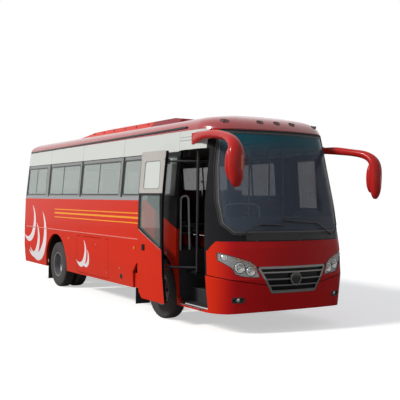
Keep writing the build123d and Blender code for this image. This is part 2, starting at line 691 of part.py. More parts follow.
def make_entry_door():
    """The door leaf in its open place, its panes, and the post with two arms that carries it."""
    length, open_angle, closed_angle = arm_geometry()
    to_open = Pos(-DOOR_OUT, DOOR_BACK, 0)
    leaf = skin(0, LEAF_THICK, door_prism(DOOR_GAP))
    panes = []
    for points, corner in LEAF_PANES:
        face = Plane.YZ * outline(points, corner)
        leaf -= Pos(-1400, 0, 0) * extrude(face, 500)
        pane = Pos(-1400, 0, 0) * extrude(Plane.YZ * offset(outline(points, corner), -SEAT_GAP), 500)
        panes.append(to_open * skin(GLASS_RECESS, GLASS_RECESS + GLASS, pane))
    pin_x = PIVOT_CLOSED_X
    pin_y = POST_Y + length * sin(radians(closed_angle))
    for z in ARM_Z:
        face_x = -(half_at(z) - LEAF_THICK) - 6
        for gap_z in (z - EYE_H / 2 - 4 - 14, z + EYE_H / 2 + 4):
            leaf += block(face_x, pin_x + 20, pin_y - 20, pin_y + 20, gap_z, gap_z + 14)
        leaf += rod((pin_x, pin_y, z - EYE_H / 2 - 18), (pin_x, pin_y, z + EYE_H / 2 + 18), PIVOT_PIN_R)
    leaf += block(-HALF_WIDTH - 14, -HALF_WIDTH + 5, DOOR_REAR_LOW - 250, DOOR_REAR_LOW - 170, 1130, 1220)
    save("entry_door", to_open * leaf)
    save("entry_door_glass", *panes)

    tip_x = POST_X + length * cos(radians(open_angle))
    tip_y = POST_Y + length * sin(radians(open_angle))
    post = rod((POST_X, POST_Y, POST_LOW), (POST_X, POST_Y, POST_TOP), POST_R)
    for z in ARM_Z:
        post += rod((POST_X, POST_Y, z), (tip_x, tip_y, z), ARM_R)
        post += rod((tip_x, tip_y, z - EYE_H / 2), (tip_x, tip_y, z + EYE_H / 2), EYE_R)
    for z in ARM_Z:
        post -= rod((tip_x, tip_y, z - EYE_H), (tip_x, tip_y, z + EYE_H), PIVOT_PIN_R + RUN_GAP)
    save("door_arm", post)

    bore = rod((POST_X, POST_Y, 0), (POST_X, POST_Y, 3000), POST_R + RUN_GAP)
    lower_bracket = block(POST_X - 45, POST_X + 45, POST_Y - 45, STEP_REAR_Y - SHEET - SEAT_GAP, POST_LOW + 20,
                          POST_LOW + 50)
    upper_x = -(half_at(POST_TOP) - WALL - SEAT_GAP)
    upper_bracket = block(upper_x - 60, POST_X + 45, POST_Y - 45, POST_Y + 45, POST_TOP - 40, POST_TOP - 10)
    upper_bracket = upper_bracket & body_form(WALL + SEAT_GAP)
    save("door_post_brackets", lower_bracket - bore, upper_bracket - bore)


def make_luggage():
    """Hinged luggage doors and the bays behind them, and the rear boot lid."""
    for name, side, rear, front in LUGGAGE_DOORS:
        slab = side_slab(0, PANEL, MASK_SPLIT_Y)
        panel = slab & bay_box(-1, rear, front, LID_GAP, 1100, 1400)
        save(name, panel if side < 0 else mirrored(panel))
    far = HALF_WIDTH - WALL - 1
    bay_top = RAIL_TOP - SEAT_GAP
    bays = []
    for _, side, rear, front in LUGGAGE_DOORS:
        outer = block(side * (far - BAY_DEPTH), side * far, front - 10, rear + 4, BAY_LOW - 10, bay_top)
        space = block(side * (far - BAY_DEPTH + SHEET), side * 1300, front - 10 + SHEET, rear + 4 - SHEET,
                      BAY_LOW - 10 + SHEET, bay_top - SHEET)
        bays.append((outer - space) & body_form(WALL + SEAT_GAP))
    save("luggage_bays", *bays)
    lid_face = offset(outline(BOOT_LID, BOOT_LID_CORNER), -LID_GAP)
    lid = Pos(0, TAIL_Y + 100, 0) * extrude(Plane.XZ * lid_face, 400)
    save("boot_lid", skin(0, PANEL, lid))


def make_front():
    """Headlamps with their reflectors, fog lamps, grille, wipers."""
    lamp_form = front_prism(HEADLAMP, SEAT_GAP)
    lens = skin(4, 4 + LAMP_GLASS, lamp_form)
    tub = skin(4 + LAMP_GLASS + SEAT_GAP, WALL - 1, lamp_form)
    for x, z, radius in REFLECTORS:
        mouth_y = nose_at(x, z)
        tub -= Pos(x, mouth_y - radius * 0.55, z) * Sphere(radius)
    fogs = [skin(8, 8 + LAMP_GLASS, fog_slot(side, SEAT_GAP)) for side in (-1, 1)]
    cups = [skin(8 + LAMP_GLASS + SEAT_GAP, WALL - 1, fog_slot(side, SEAT_GAP)) for side in (-1, 1)]
    save("headlamps", lens, mirrored(lens))
    save("fog_lamps", *fogs)
    save("lamp_housings", tub, mirrored(tub), *cups)

    hole = front_prism(GRILLE, SEAT_GAP, 30)
    grille = skin(2, GRILLE_DEPTH - SEAT_GAP, hole - front_prism(GRILLE, GRILLE_EDGE, 30))
    for z, half in GRILLE_BARS:
        bar = block(-GRILLE[1][0], GRILLE[1][0], NOSE_Y - 50, NOSE_Y + 300, z - half, z + half) & hole
        grille += skin(6, GRILLE_DEPTH - SEAT_GAP, bar)
    badge_y = nose_at(0, BADGE_Z)
    badge = rod((0, badge_y - 10, BADGE_Z), (0, badge_y + GRILLE_DEPTH - 2, BADGE_Z), BADGE_R)
    badge -= rod((0, badge_y - 20, BADGE_Z), (0, badge_y - 2, BADGE_Z), BADGE_R - BADGE_RING)
    save("grille", grille + badge)

    wipers = []
    for row in WIPERS:
        pivot, elbow, tip = [(x, nose_at(x, z) - WIPER_GAP, z) for x, z in row]
        wiper = rod(pivot, elbow, WIPER_R) + rod(elbow, tip, WIPER_R) + Pos(*elbow) * Sphere(WIPER_R)
        spindle_x, spindle_y, spindle_z = pivot
        wiper += rod((spindle_x, spindle_y + WIPER_GAP + 20, spindle_z), (spindle_x, spindle_y - 8, spindle_z),
                     WIPER_PIVOT_R)
        wipers.append(wiper - body_form(-SEAT_GAP))
    save("wipers", *wipers)


def horn(rows):
    """A smooth horn through the oval sections of a table."""
    centres = [Vector(x, y, z) for x, y, z, _, _ in rows]
    sections = []
    for index, (x, y, z, half_w, half_t) in enumerate(rows):
        ahead = centres[min(index + 1, len(rows) - 1)] - centres[max(index - 1, 0)]
        across = Vector(1, 0, 0) - ahead.normalized() * ahead.normalized().X
        plane = Plane(origin=(x, y, z), x_dir=across, z_dir=ahead)
        sections.append(plane * Ellipse(half_w, half_t))
    return loft(sections)


def make_mirrors():
    """The two horn-shaped mirrors: an arm that swells into the head, and a lobe with the glass behind."""
    bodies = []
    panes = []
    for rows, (middle, half_size) in zip((DOOR_MIRROR, DRIVER_MIRROR), MIRROR_LOBES):
        root = rows[0]
        foot = Pos(root[0], root[1], root[2]) * Box(70, 70, 2 * root[4])
        half_x, half_y, half_z = half_size
        lobe = Pos(*middle) * scale(Sphere(1), (half_x, half_y, half_z))
        cut_y = middle[1] + half_y * 0.45
        behind = block(middle[0] - 200, middle[0] + 200, cut_y, cut_y + 200, middle[2] - 400, middle[2] + 400)
        glass_x = half_x * MIRROR_GLASS_SHARE
        glass_z = half_z * MIRROR_GLASS_SHARE
        recess = extrude(Plane.XZ * Ellipse(glass_x, glass_z), MIRROR_RECESS)
        body = horn(rows) + foot + (lobe - behind) - Pos(middle[0], cut_y, middle[2]) * recess
        bodies.append(body - body_form(-SEAT_GAP))
        pane = extrude(Plane.XZ * Ellipse(glass_x - SEAT_GAP, glass_z - SEAT_GAP), MIRROR_GLASS)
        pane_y = cut_y - MIRROR_RECESS + MIRROR_GLASS + SEAT_GAP
        panes.append(Pos(middle[0], pane_y, middle[2]) * pane)
    save("mirrors", *bodies)
    save("mirror_glass", *panes)


def make_chassis():
    """Frame rails, cross members, bearers, engine, drive line, tank and exhaust."""
    rail_in = RAIL_X - RAIL_W / 2
    rail_out = RAIL_X + RAIL_W / 2
    ladder = [block(side * rail_in, side * rail_out, RAIL_FRONT, RAIL_REAR, RAIL_TOP - RAIL_H, RAIL_TOP)
              for side in (-1, 1)]
    member_top = RAIL_TOP - 20
    for y in CROSS_MEMBERS:
        ladder.append(block(SEAT_GAP - rail_in, rail_in - SEAT_GAP, y - CROSS_MEMBER_W / 2, y + CROSS_MEMBER_W / 2,
                            member_top - CROSS_MEMBER_H, member_top))
    for y in BEARERS:
        half = half_at(FLOOR_Z) - WALL - 40
        if y < STEP_REAR_Y:
            half = rail_out + 5
        bearer = block(-half, half, y - BEARER_W / 2, y + BEARER_W / 2, RAIL_TOP + SEAT_GAP,
                       FLOOR_Z - FLOOR_PLATE - SEAT_GAP)
        ladder.append(bearer & body_form(WALL + 20))
    save("chassis_frame", *ladder)
    engine = block(-330, 330, -1500, -420, 590, 1230) + block(-170, 170, -421, 300, 560, 740)
    engine += block(-RAIL_X + RAIL_W / 2 + SEAT_GAP, RAIL_X - RAIL_W / 2 - SEAT_GAP, -1040, -960, 700, 760)
    save("engine", engine)
    shaft = rod((0, 301.8, 650), (0, WHEELBASE - 191.8, 500), SHAFT_R)
    save("drive_shaft", shaft)
    tank = block(-1120, -520, 1010, 1900, 460, 830)
    for y in (1200, 1700):
        tank += block(-521, -RAIL_X - RAIL_W / 2 - SEAT_GAP, y - 30, y + 30, 700, 780)
    save("fuel_tank", tank)
    tail = rod((EXHAUST_X, 3940, EXHAUST_Z), (EXHAUST_X, 660, EXHAUST_Z), 32)
    tail += rod((EXHAUST_X, 3400, EXHAUST_Z), (EXHAUST_X, 2500, EXHAUST_Z), 105)
    for y in CROSS_MEMBERS[1:4]:
        tail += block(EXHAUST_X - 15, EXHAUST_X + 15, y - 20, y + 20, EXHAUST_Z,
                      RAIL_TOP - 20 - CROSS_MEMBER_H - SEAT_GAP)
    save("exhaust", tail)
    hump = block(ENGINE_HOLE[0] - 20, ENGINE_HOLE[1] + 20, ENGINE_HOLE[2], ENGINE_HOLE[3] + 20,
                 FLOOR_Z + SEAT_GAP, FLOOR_Z + 330)
    hump = fillet(hump.edges().filter_by(Axis.Z) + hump.edges().group_by(Axis.Z)[-1], 40)
    hump -= block(ENGINE_HOLE[0], ENGINE_HOLE[1], ENGINE_HOLE[2] + 20, ENGINE_HOLE[3], 0, FLOOR_Z + 300)
    save("engine_cover", hump)


def make_axles():
    """Front beam with kingpin bosses, rear housing, and the leaf springs."""
    beam = block(-760, 760, -45, 45, 340, 430)
    for side in (-1, 1):
        rise = [(700, 340), (860, 441), (930, 441), (930, 533), (860, 520), (700, 430)]
        slope = along_y([(side * x, z) for x, z in rise], -42, 42)
        boss = rod((side * KINGPIN_X, 0, 440), (side * KINGPIN_X, 0, 534), 48)
        beam += slope + boss
    for side in (-1, 1):
        beam -= rod((side * KINGPIN_X, 0, 300), (side * KINGPIN_X, 0, 700), KINGPIN_R + RUN_GAP)
    save("front_axle", beam)
    bowl = axle_disc(-110, 110, 190, WHEELBASE)
    housing = axle_disc(-HUB_IN, HUB_IN, 62, WHEELBASE) + fillet(bowl.edges(), 70)
    housing += axle_disc(-AXLE_END, AXLE_END, SPINDLE_R, WHEELBASE)
    save("rear_axle", housing)
    springs = []
    for centre_y, seat_z, half_len in ((0, 430, 640), (WHEELBASE, TYRE_R + 62, 760)):
        for side in (-1, 1):
            stack = None
            for index in range(SPRING_LEAVES):
                reach = half_len * (1 - 0.16 * (SPRING_LEAVES - 1 - index))
                z = seat_z + SEAT_GAP + index * LEAF_T
                leaf = block(side * RAIL_X - SPRING_W / 2, side * RAIL_X + SPRING_W / 2, centre_y - reach,
                             centre_y + reach, z, z + LEAF_T)
                stack = leaf if stack is None else stack + leaf
            top = seat_z + SEAT_GAP + SPRING_LEAVES * LEAF_T
            if top < RAIL_TOP - RAIL_H:
                for end in (-1, 1):
                    y = centre_y + end * (half_len - 30)
                    stack += block(side * RAIL_X - 30, side * RAIL_X + 30, y - 25, y + 25, top - 5,
                                   RAIL_TOP - RAIL_H - SEAT_GAP)
            springs.append(stack)
    save("leaf_springs", *springs)


def knuckle(side):
    """One steering knuckle: two ears, the kingpin through them, and the wheel spindle."""
    x = side * KINGPIN_X
    body = rod((x, 0, 395), (x, 0, 435), 46) + rod((x, 0, 539), (x, 0, 579), 46)
    body += rod((x, 0, 395), (x, 0, 579), KINGPIN_R)
    body += block(side * (KINGPIN_X + 50), side * (KINGPIN_X + 75), -46, 46, 395, 579)
    for low in (395, 539):
        body += block(x, side * (KINGPIN_X + 60), -40, 40, low, low + 40)
    body += axle_disc(side * (KINGPIN_X + 60), side * FRONT_SPINDLE_END, SPINDLE_R)
    return body


def tyre(centre_x, centre_y):
    """A tyre turned about the wheel's axle."""
    half = TYRE_W / 2
    seat = RIM_R + SEAT_GAP
    with BuildPart() as part:
        with BuildSketch(Plane.XY):
            with BuildLine():
                Polyline((-half + 18, seat + 14), (-half + 18, seat), (half - 18, seat), (half - 18, seat + 14))
                ThreePointArc((half - 18, seat + 14), (half, TYRE_R - 118), (half - 16, TYRE_R - 16))
                Polyline((half - 16, TYRE_R - 16), (half - 42, TYRE_R), (-half + 42, TYRE_R),
                         (-half + 16, TYRE_R - 16))
                ThreePointArc((-half + 16, TYRE_R - 16), (-half, TYRE_R - 118), (-half + 18, seat + 14))
            make_face()
        revolve(axis=Axis.X)
    return Pos(centre_x, centre_y, TYRE_R) * part.part


def rim(centre_x, centre_y, dish):
    """A pressed steel wheel turned about its axle; dish is the side its disc stands to."""
    edge = TYRE_W / 2 - 18
    lip = RIM_R + 12
    barrel = [(-edge - 8, lip), (-edge, lip), (-edge, RIM_R), (edge, RIM_R), (edge, lip), (edge + 8, lip),
              (edge + 8, RIM_R - 10), (-edge - 8, RIM_R - 10)]
    face_u = TWIN_PITCH / 2
    disc = [(20, RIM_R - 8), (60, RIM_R - 8), (face_u - 1, 150), (face_u - 1, HUB_BORE), (face_u - 13, HUB_BORE),
            (face_u - 13, 146)]
    with BuildPart() as part:
        with BuildSketch(Plane.XY):
            with BuildLine():
                Polyline(*barrel, close=True)
            make_face()
        revolve(axis=Axis.X)
        with BuildSketch(Plane.XY):
            with BuildLine():
                Polyline(*[(u * dish, r) for u, r in disc], close=True)
            make_face()
        revolve(axis=Axis.X)
    wheel = part.part
    for index in range(HAND_HOLES):
        turn = Rot(360 / HAND_HOLES * index, 0, 0)
        wheel -= turn * rod((0, 0, 193), (dish * 200, 0, 193), 26)
    return Pos(centre_x, centre_y, TYRE_R) * wheel


def make_wheels():
    """Knuckles, hubs, steel wheels and tyres; the rear ones are twins."""
    for name, side in (("left", -1), ("right", 1)):
        save(f"knuckle_{name}", knuckle(side))
        x = side * TRACK_X
        face = side * (TRACK_X + TWIN_PITCH / 2)
        save(f"front_tyre_{name}", tyre(x, 0))
        hub = axle_disc(side * (KINGPIN_X + 80), face + side * 20, HUB_BORE - SEAT_GAP)
        hub += axle_disc(face - side * 38, face - side * 12, 140)
        hub += axle_disc(side * (KINGPIN_X + 80), side * (KINGPIN_X + 150), 200)
        hub -= axle_disc(side * KINGPIN_X, side * (FRONT_SPINDLE_END + 4), SPINDLE_R + RUN_GAP)
        save(f"front_wheel_{name}", hub + rim(x, 0, side))
        inner_x = side * (TRACK_X - TWIN_PITCH)
        save(f"rear_tyres_{name}", tyre(x, WHEELBASE), tyre(inner_x, WHEELBASE))
        outer_rim = rim(x, WHEELBASE, -side)
        inner_rim = rim(inner_x, WHEELBASE, side)
        middle = side * (TRACK_X - TWIN_PITCH / 2)
        rear_hub = axle_disc(side * (HUB_IN + 10), middle + side * 110, HUB_BORE - SEAT_GAP, WHEELBASE)
        rear_hub += axle_disc(side * (HUB_IN + 10), side * (HUB_IN + 90), 200, WHEELBASE)
        rear_hub += axle_disc(middle - side * 38, middle + side * 12, 140, WHEELBASE)
        rear_hub -= axle_disc(side * HUB_IN, side * (AXLE_END + 4), SPINDLE_R + RUN_GAP, WHEELBASE)
        save(f"rear_wheels_{name}", rear_hub + outer_rim + inner_rim)


def make_cabin():
    """Seats, dashboard, steering wheel, rails and luggage racks."""
    cushions = []
    backs = []
    legs = []
    houses = house_blocks(SEAT_GAP)
    for row in range(SEAT_ROWS):
        y = SEAT_FIRST_Y + row * SEAT_PITCH
        for x in SEAT_X:
            cushions.append(block(x - SEAT_W / 2 + 5, x + SEAT_W / 2 - 5, y - 430, y - 5, SEAT_BASE_Z,
                                  SEAT_BASE_Z + 110))
            back = [(y, SEAT_BASE_Z), (y + 90, SEAT_BASE_Z), (y + 210, SEAT_TOP_Z), (y + 130, SEAT_TOP_Z)]
            back = along_x(back, x - SEAT_W / 2 + 5, x + SEAT_W / 2 - 5)
            backs.append(back)
        for x in (-PEDESTAL_X, PEDESTAL_X):
            foot = block(x - 25, x + 25, y - 380, y + 80, FLOOR_Z + SEAT_GAP, FLOOR_Z + 30)
            post = block(x - 25, x + 25, y - 230, y - 130, FLOOR_Z + 30 + SEAT_GAP, SEAT_BASE_Z - 40 - SEAT_GAP)
            tray = block(x - 440, x + 440, y - 400, y + 60, SEAT_BASE_Z - 40, SEAT_BASE_Z - SEAT_GAP)
            legs += [piece for piece in (foot - houses, post - houses, tray) if piece]
    x, y, z = DRIVER
    cushions.append(block(x - 240, x + 240, y - 240, y + 240, z, z + 120))
    back = [(y + 245, z), (y + 340, z), (y + 430, z + 700), (y + 350, z + 700)]
    backs.append(along_x(back, x - 240, x + 240))
    legs.append(block(x - 200, x + 200, y - 200, y + 250, FLOOR_Z + SEAT_GAP, z - SEAT_GAP))
    save("seat_cushions", *cushions)
    save("seat_backs", *backs)
    save("seat_frames", *legs)
    dash_form = body_form(WALL + SEAT_GAP)
    dash = along_x(DASH, -1200, 1200) & dash_form
    dash -= door_prism(-30, -1400, -700)
    save("dashboard", dash)
    wheel_plane = Plane(origin=(x, y - 480, z + 330), z_dir=(0, 0.55, 0.83))
    steering = wheel_plane * Torus(225, 16)
    steering += wheel_plane * Cylinder(55, 30)
    for angle in (90, 210, 330):
        steering += wheel_plane * Rot(0, 0, angle) * Pos(112, 0, 0) * Box(225, 30, 12)
    steering += wheel_plane * Pos(0, 0, -150) * Cylinder(28, 300)
    save("steering_wheel", steering - dash)
    foot_z = HOUSE_TOP + SEAT_GAP
    hoop = [(-1130, -530, foot_z - 20), (-1130, -530, 1990), (-990, -530, 2020), (-960, -530, foot_z - 20)]
    flat_feet = block(-1200, -900, -600, -460, foot_z - 60, foot_z)
    post = [(-452, -560, FLOOR_Z + SEAT_GAP), (-452, -560, FLOOR_Z + 900)]
    save("handrails", pipe(hoop, 60) - flat_feet, pipe(post))
    racks = []
    for side in (-1, 1):
        wall_x = half_at(RACK_Z + 40) - WALL - SEAT_GAP
        racks.append(block(side * (wall_x - 330), side * wall_x, 200, 6500, RACK_Z, RACK_Z + 40))
    save("luggage_racks", *racks)


def make_trim(roof_lamps):
    """Mud flaps, tail lamps and side marker lamps."""
    flaps = []
    floor_under = FLOOR_Z - FLOOR_PLATE - SEAT_GAP
    for back_y, top in ((ARCH_TAIL_Y + 10, floor_under), (WHEELBASE + HOUSE_REAR, 720)):
        for side in (-1, 1):
            flaps.append(block(side * 880, side * 1160, back_y + SEAT_GAP, back_y + 10, FLAP_LOW, top))
    save("mud_flaps", *flaps)
    lamps = []
    for x0, x1, z0, z1 in TAIL_LAMPS:
        for side in (-1, 1):
            lamp = block(side * (x0 + SEAT_GAP), side * (x1 - SEAT_GAP), TAIL_Y - 300, TAIL_Y + 100,
                         z0 + SEAT_GAP, z1 - SEAT_GAP)
            lamps.append(skin(3, 40, lamp))
    save("tail_lamps", *lamps)
    markers = []
    for y, z in SIDE_LAMPS:
        for side in (-1, 1):
            lamp = rod((side * (half_at(z) - 5), y, z), (side * (half_at(z) + 12), y, z), MARKER_R)
            markers.append(lamp - body_form(-SEAT_GAP))
    save("marker_lamps", *markers, *roof_lamps)


def main():
    """Builds every piece."""
    os.makedirs("parts", exist_ok=True)
    make_body()
    make_glass()
    roof_lamps = make_roof()
    make_floor()
    make_entry_door()
    make_luggage()
    make_front()
    make_mirrors()
    make_chassis()
    make_axles()
    make_wheels()
    make_cabin()
    make_trim(roof_lamps)


if __name__ == "__main__":
    main()
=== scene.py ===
import bmesh
import bpy
from functools import reduce
from math import cos, pi, radians, sin, tan
from mathutils import Matrix, Vector
from mathutils.bvhtree import BVHTree


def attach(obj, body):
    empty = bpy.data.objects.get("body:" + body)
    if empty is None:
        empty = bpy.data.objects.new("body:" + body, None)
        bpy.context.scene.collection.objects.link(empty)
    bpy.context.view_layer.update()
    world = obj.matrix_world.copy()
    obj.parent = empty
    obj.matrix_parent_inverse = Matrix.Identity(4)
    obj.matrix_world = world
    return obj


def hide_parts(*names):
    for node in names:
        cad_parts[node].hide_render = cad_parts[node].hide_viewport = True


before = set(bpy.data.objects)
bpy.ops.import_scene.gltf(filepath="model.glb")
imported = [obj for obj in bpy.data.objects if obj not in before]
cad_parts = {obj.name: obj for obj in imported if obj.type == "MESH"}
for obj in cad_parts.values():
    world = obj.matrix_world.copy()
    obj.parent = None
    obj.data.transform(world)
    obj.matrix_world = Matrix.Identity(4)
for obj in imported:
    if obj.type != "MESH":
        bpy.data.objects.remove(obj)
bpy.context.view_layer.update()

# Metres; forward is -Y and the entry door is on the -X side. AXLE_Y is the front axle, and the Ys
# below are distances behind it.
AXLE_Y = -2.37
WHEELBASE = 4.8
TRACK_X = 1.068
TWIN_PITCH = 0.298
TYRE_R = 0.487
BELT_Z = 1.925
WINDOW_LOW = 2.01
PANEL_LOW = 2.70
COWL_Z = 1.35
CROWN_Z = 2.995
FOG_X = 0.91
FOG_Z = 0.505
GRILLE_LOW = 0.59
GRILLE_TOP = 0.985
GRILLE_HALF = 0.414
GRILLE_SLOPE = 0.6076

# The face lies ahead of FACE_Y; a colder, deeper red is painted on it as shade, fading out towards the
# corners
FACE_Y = -1.27
FACE_SHADE_HALF = 1.10
FACE_SHADE_FADE = 0.08

# The leaf's front edge where it stands open: its y at its foot, its lean, the foot's height, and how
# far back the leaf has slid; then where its beige begins, and its lock
LEAF_FRONT = -0.74
LEAF_SLOPE = 0.0732
LEAF_LOW = 0.335
LEAF_SHIFT = 0.76
LEAF_BEIGE_Z = 2.045
LEAF_LOCK_Y = (-0.094, -0.006)
LEAF_LOCK_Z = (1.125, 1.225)

# Slanted lines under black paint, through two (y, z) points: on the body's side and on the leaf
BODY_SLANT = (0.444, 1.90, -0.505, 1.52)
LEAF_SLANT = (0.16, 1.47, -0.72, 1.15)

# Colours, linear
RED = (0.64, 0.026, 0.008)
# Painted shade: a deeper red for the forward crown of the dome
CROWN_SHADE_RED = (0.42, 0.009, 0.008)
# A colder, deeper red painted on the face as shade
FACE_SHADE_RED = (0.54, 0.010, 0.012)
# Painted shade along the groove over the bumper
GROOVE_SHADE_RED = (0.06, 0.003, 0.003)
# Painted shade for the cooling unit's forward cowl
COOLER_SHADE_RED = (0.22, 0.008, 0.02)
PALE = (0.60, 0.63, 0.61)
BAND_GREY = (0.30, 0.31, 0.33)
PILLAR_GREY = (0.24, 0.25, 0.25)
DULL = (0.3, 0.3, 0.3)
BLACK = (0.012, 0.012, 0.014)
BEIGE = (0.46, 0.44, 0.42)
WHITE = (0.75, 0.73, 0.76)
GOLD = (0.85, 0.33, 0.02)
DIRT = (0.16, 0.12, 0.10)

# Directions
AHEAD = Vector((0, -1, 0))
UP = Vector((0, 0, 1))
SIDES = (("left", -1), ("right", 1))


class Nodes:
    """Short calls for the nodes of one tree. Masks run from 0 to 1."""

    def __init__(self, tree):
        self.tree = tree

    def feed(self, socket, value):
        """Links an output to a socket, or sets the socket's own value."""
        if hasattr(value, "is_output"):
            self.tree.links.new(value, socket)
        elif socket.type == "RGBA":
            socket.default_value = (*value, 1)
        else:
            socket.default_value = value

    def node(self, kind, output, sockets, **settings):
        """A new node with its sockets fed; gives one of its outputs."""
        made = self.tree.nodes.new(kind)
        for key, value in settings.items():
            setattr(made, key, value)
        for key, value in sockets.items():
            self.feed(made.inputs[key], value)
        return made.outputs[output]

    def math(self, operation, a, b=0.0):
        return self.node("ShaderNodeMath", 0, {0: a, 1: b}, operation=operation)

    def plus(self, a, b):
        return self.math("ADD", a, b)

    def minus(self, a, b):
        return self.math("SUBTRACT", a, b)

    def times(self, a, b):
        return self.math("MULTIPLY", a, b)

    def mix(self, mask, a, b, blend="MIX"):
        return self.node("ShaderNodeMix", 2, {0: mask, 6: a, 7: b}, data_type="RGBA", blend_type=blend)

    def ramp(self, value, low, high, start=0.0, end=1.0):
        """A value carried from the range low to high into the range start to end."""
        sockets = {"Value": value, "From Min": low, "From Max": high, "To Min": start, "To Max": end}
        return self.node("ShaderNodeMapRange", "Result", sockets)

    def above(self, value, limit, soft=0.0):
        """1 where the value is over the limit, with an edge as soft as asked."""
        if soft:
            return self.ramp(value, limit - soft, limit + soft)
        return self.math("GREATER_THAN", value, limit)

    def flip(self, mask):
        return self.minus(1.0, mask)

    def band(self, value, low, high):
        """1 between two values."""
        return self.both(self.above(value, low), self.flip(self.above(value, high)))

    def both(self, *masks):
        """1 where every mask is."""
        return reduce(self.times, masks)

    def either(self, *masks):
        """1 where any mask is."""
        return reduce(lambda a, b: self.math("MAXIMUM", a, b), masks)


class Shader(Nodes):
    """A Principled material. Its colour is built up zone by zone and fed at the end."""

    def __init__(self, name, color, rough=0.5, metal=0.0, **sockets):
        self.material = bpy.data.materials.new(name)
        self.material.use_nodes = True
        super().__init__(self.material.node_tree)
        self.bsdf = self.tree.nodes["Principled BSDF"].inputs
        self.bsdf["Roughness"].default_value = rough
        self.bsdf["Metallic"].default_value = metal
        for key, value in sockets.items():
            self.bsdf[key.replace("_", " ")].default_value = value
        self.color = color
        self.place = self.node("ShaderNodeTexCoord", "Object", {})

    def locate(self):
        """Splits the place into x, the distance y behind the front axle and the height z."""
        self.x, y, self.z = self.node("ShaderNodeSeparateXYZ", 0, {0: self.place}).node.outputs
        self.y = self.minus(y, AXLE_Y)

    def noise(self, scale, detail=4.0):
        sockets = {"Scale": scale, "Detail": detail, "Vector": self.place}
        return self.node("ShaderNodeTexNoise", "Fac", sockets)

    def vary(self, scale, amount):
        """Gives the colour so far a slow variation."""
        noise = self.noise(scale)
        if isinstance(self.color, tuple):
            dark = tuple(c * (1 - amount) for c in self.color)
            self.color = self.mix(noise, dark, self.color)
        else:
            self.color = self.mix(self.times(noise, amount), self.color, DULL, "MULTIPLY")

    def rough(self, low, high, scale):
        self.feed(self.bsdf["Roughness"], self.ramp(self.noise(scale), 0.0, 1.0, low, high))

    def bump(self, scale, strength, distance=0.001, detail=3.0):
        sockets = {"Strength": strength, "Distance": distance, "Height": self.noise(scale, detail)}
        self.feed(self.bsdf["Normal"], self.node("ShaderNodeBump", "Normal", sockets))

    def zone(self, color, *masks):
        """Lays a colour where every mask is."""
        self.color = self.mix(self.both(*masks), self.color, color)

    def done(self):
        """The material, with its colour fed."""
        self.feed(self.bsdf["Base Color"], self.color)
        return self.material


def rising(sh, y0, z0, y1, z1):
    """1 above the slanted line through two points of the side."""
    line = sh.times(sh.minus(sh.y, y0), (z1 - z0) / (y1 - y0))
    return sh.above(sh.minus(sh.z, line), z0)


def disc(sh, level, middle, z, radius):
    """1 inside a circle, where level is the distance measured along the surface."""
    run = sh.minus(level, middle)
    rise = sh.minus(sh.z, z)
    return sh.math("LESS_THAN", sh.plus(sh.times(run, run), sh.times(rise, rise)), radius ** 2)


def leaning(sh):
    """The y of a point once the lean of the leaf's front edge is taken out."""
    return sh.minus(sh.y, sh.times(sh.z, LEAF_SLOPE))


def paint(name):
    """Red body paint with its slow variation, ready for more zones."""
    sh = Shader(name, RED, Specular_IOR_Level=0.05, Coat_Weight=0.05, Coat_Roughness=0.06)
    sh.rough(0.18, 0.28, 8.0)
    sh.bump(60.0, 0.05, detail=2.0)
    sh.vary(1.3, 0.1)
    sh.locate()
    return sh


# White crescents of the livery: a circle (y, z, radius) less another
CRESCENTS = [
    ((6.02, 1.10, 0.62), (6.16, 1.24, 0.60)),
    ((6.30, 0.98, 0.44), (6.42, 1.08, 0.43)),
    ((6.62, 1.36, 0.46), (6.74, 1.46, 0.45)),
    ((3.35, 0.86, 0.30), (3.43, 0.94, 0.295)),
    ((3.10, 0.76, 0.19), (3.16, 0.82, 0.185)),
]
# Gold lines: lowest and highest z of each, and their ends
PINSTRIPES = [(1.691, 1.709), (1.604, 1.636), (1.521, 1.539)]
PINSTRIPE_ENDS = (0.52, 4.9)
PANEL_SEAMS = (5.36, 3.46, 1.52, -0.51)
PANEL_SEAM_HALF = 0.006
PANEL_EDGE_HALF = 0.007
# Rear edges of the side windows, each with a black band behind it
WINDOW_REARS = (6.845, 5.31, 3.41, 1.44)
BLACK_BAND_WIDTH = 0.085


def body_paint():
    """The body's paint in its zones: red, livery, grey band, window surround, pale panel."""
    sh = paint("body_paint")
    for outer, inner in CRESCENTS:
        sh.zone(WHITE, disc(sh, sh.y, *outer), sh.flip(disc(sh, sh.y, *inner)))
    for low, high in PINSTRIPES:
        sh.zone(GOLD, sh.band(sh.y, *PINSTRIPE_ENDS), sh.band(sh.z, low, high))
    sh.zone(BAND_GREY, sh.above(sh.z, BELT_Z))
    sh.zone(PILLAR_GREY, sh.above(sh.z, WINDOW_LOW - 0.02))
    for rear in WINDOW_REARS:
        sh.zone(BLACK, sh.band(sh.y, rear, rear + BLACK_BAND_WIDTH), sh.above(sh.z, WINDOW_LOW - 0.03))
    sh.zone(BLACK, sh.flip(sh.above(sh.y, BODY_SLANT[0])), rising(sh, *BODY_SLANT))
    panel = sh.above(sh.z, PANEL_LOW)
    sh.zone(PALE, panel)
    for seam in PANEL_SEAMS:
        sh.zone(BAND_GREY, sh.band(sh.y, seam - PANEL_SEAM_HALF, seam + PANEL_SEAM_HALF), panel)
    sh.zone(BLACK, sh.band(sh.z, PANEL_LOW - PANEL_EDGE_HALF, PANEL_LOW + PANEL_EDGE_HALF))
    sh.zone(DIRT, sh.times(sh.noise(3.0, 6.0), 0.25), sh.flip(sh.above(sh.z, 0.55, 0.3)))
    return sh.done()


# Groove over the bumper: its height in the middle, each X where it bends with the slope it gains
# there, and how far the painted shade in it reaches below and above it
GROOVE_Z = 0.726
GROOVE_BENDS = [(0.53, 0.1585), (1.06, 0.0915)]
GROOVE_SHADE_BAND = (-0.011, 0.002)


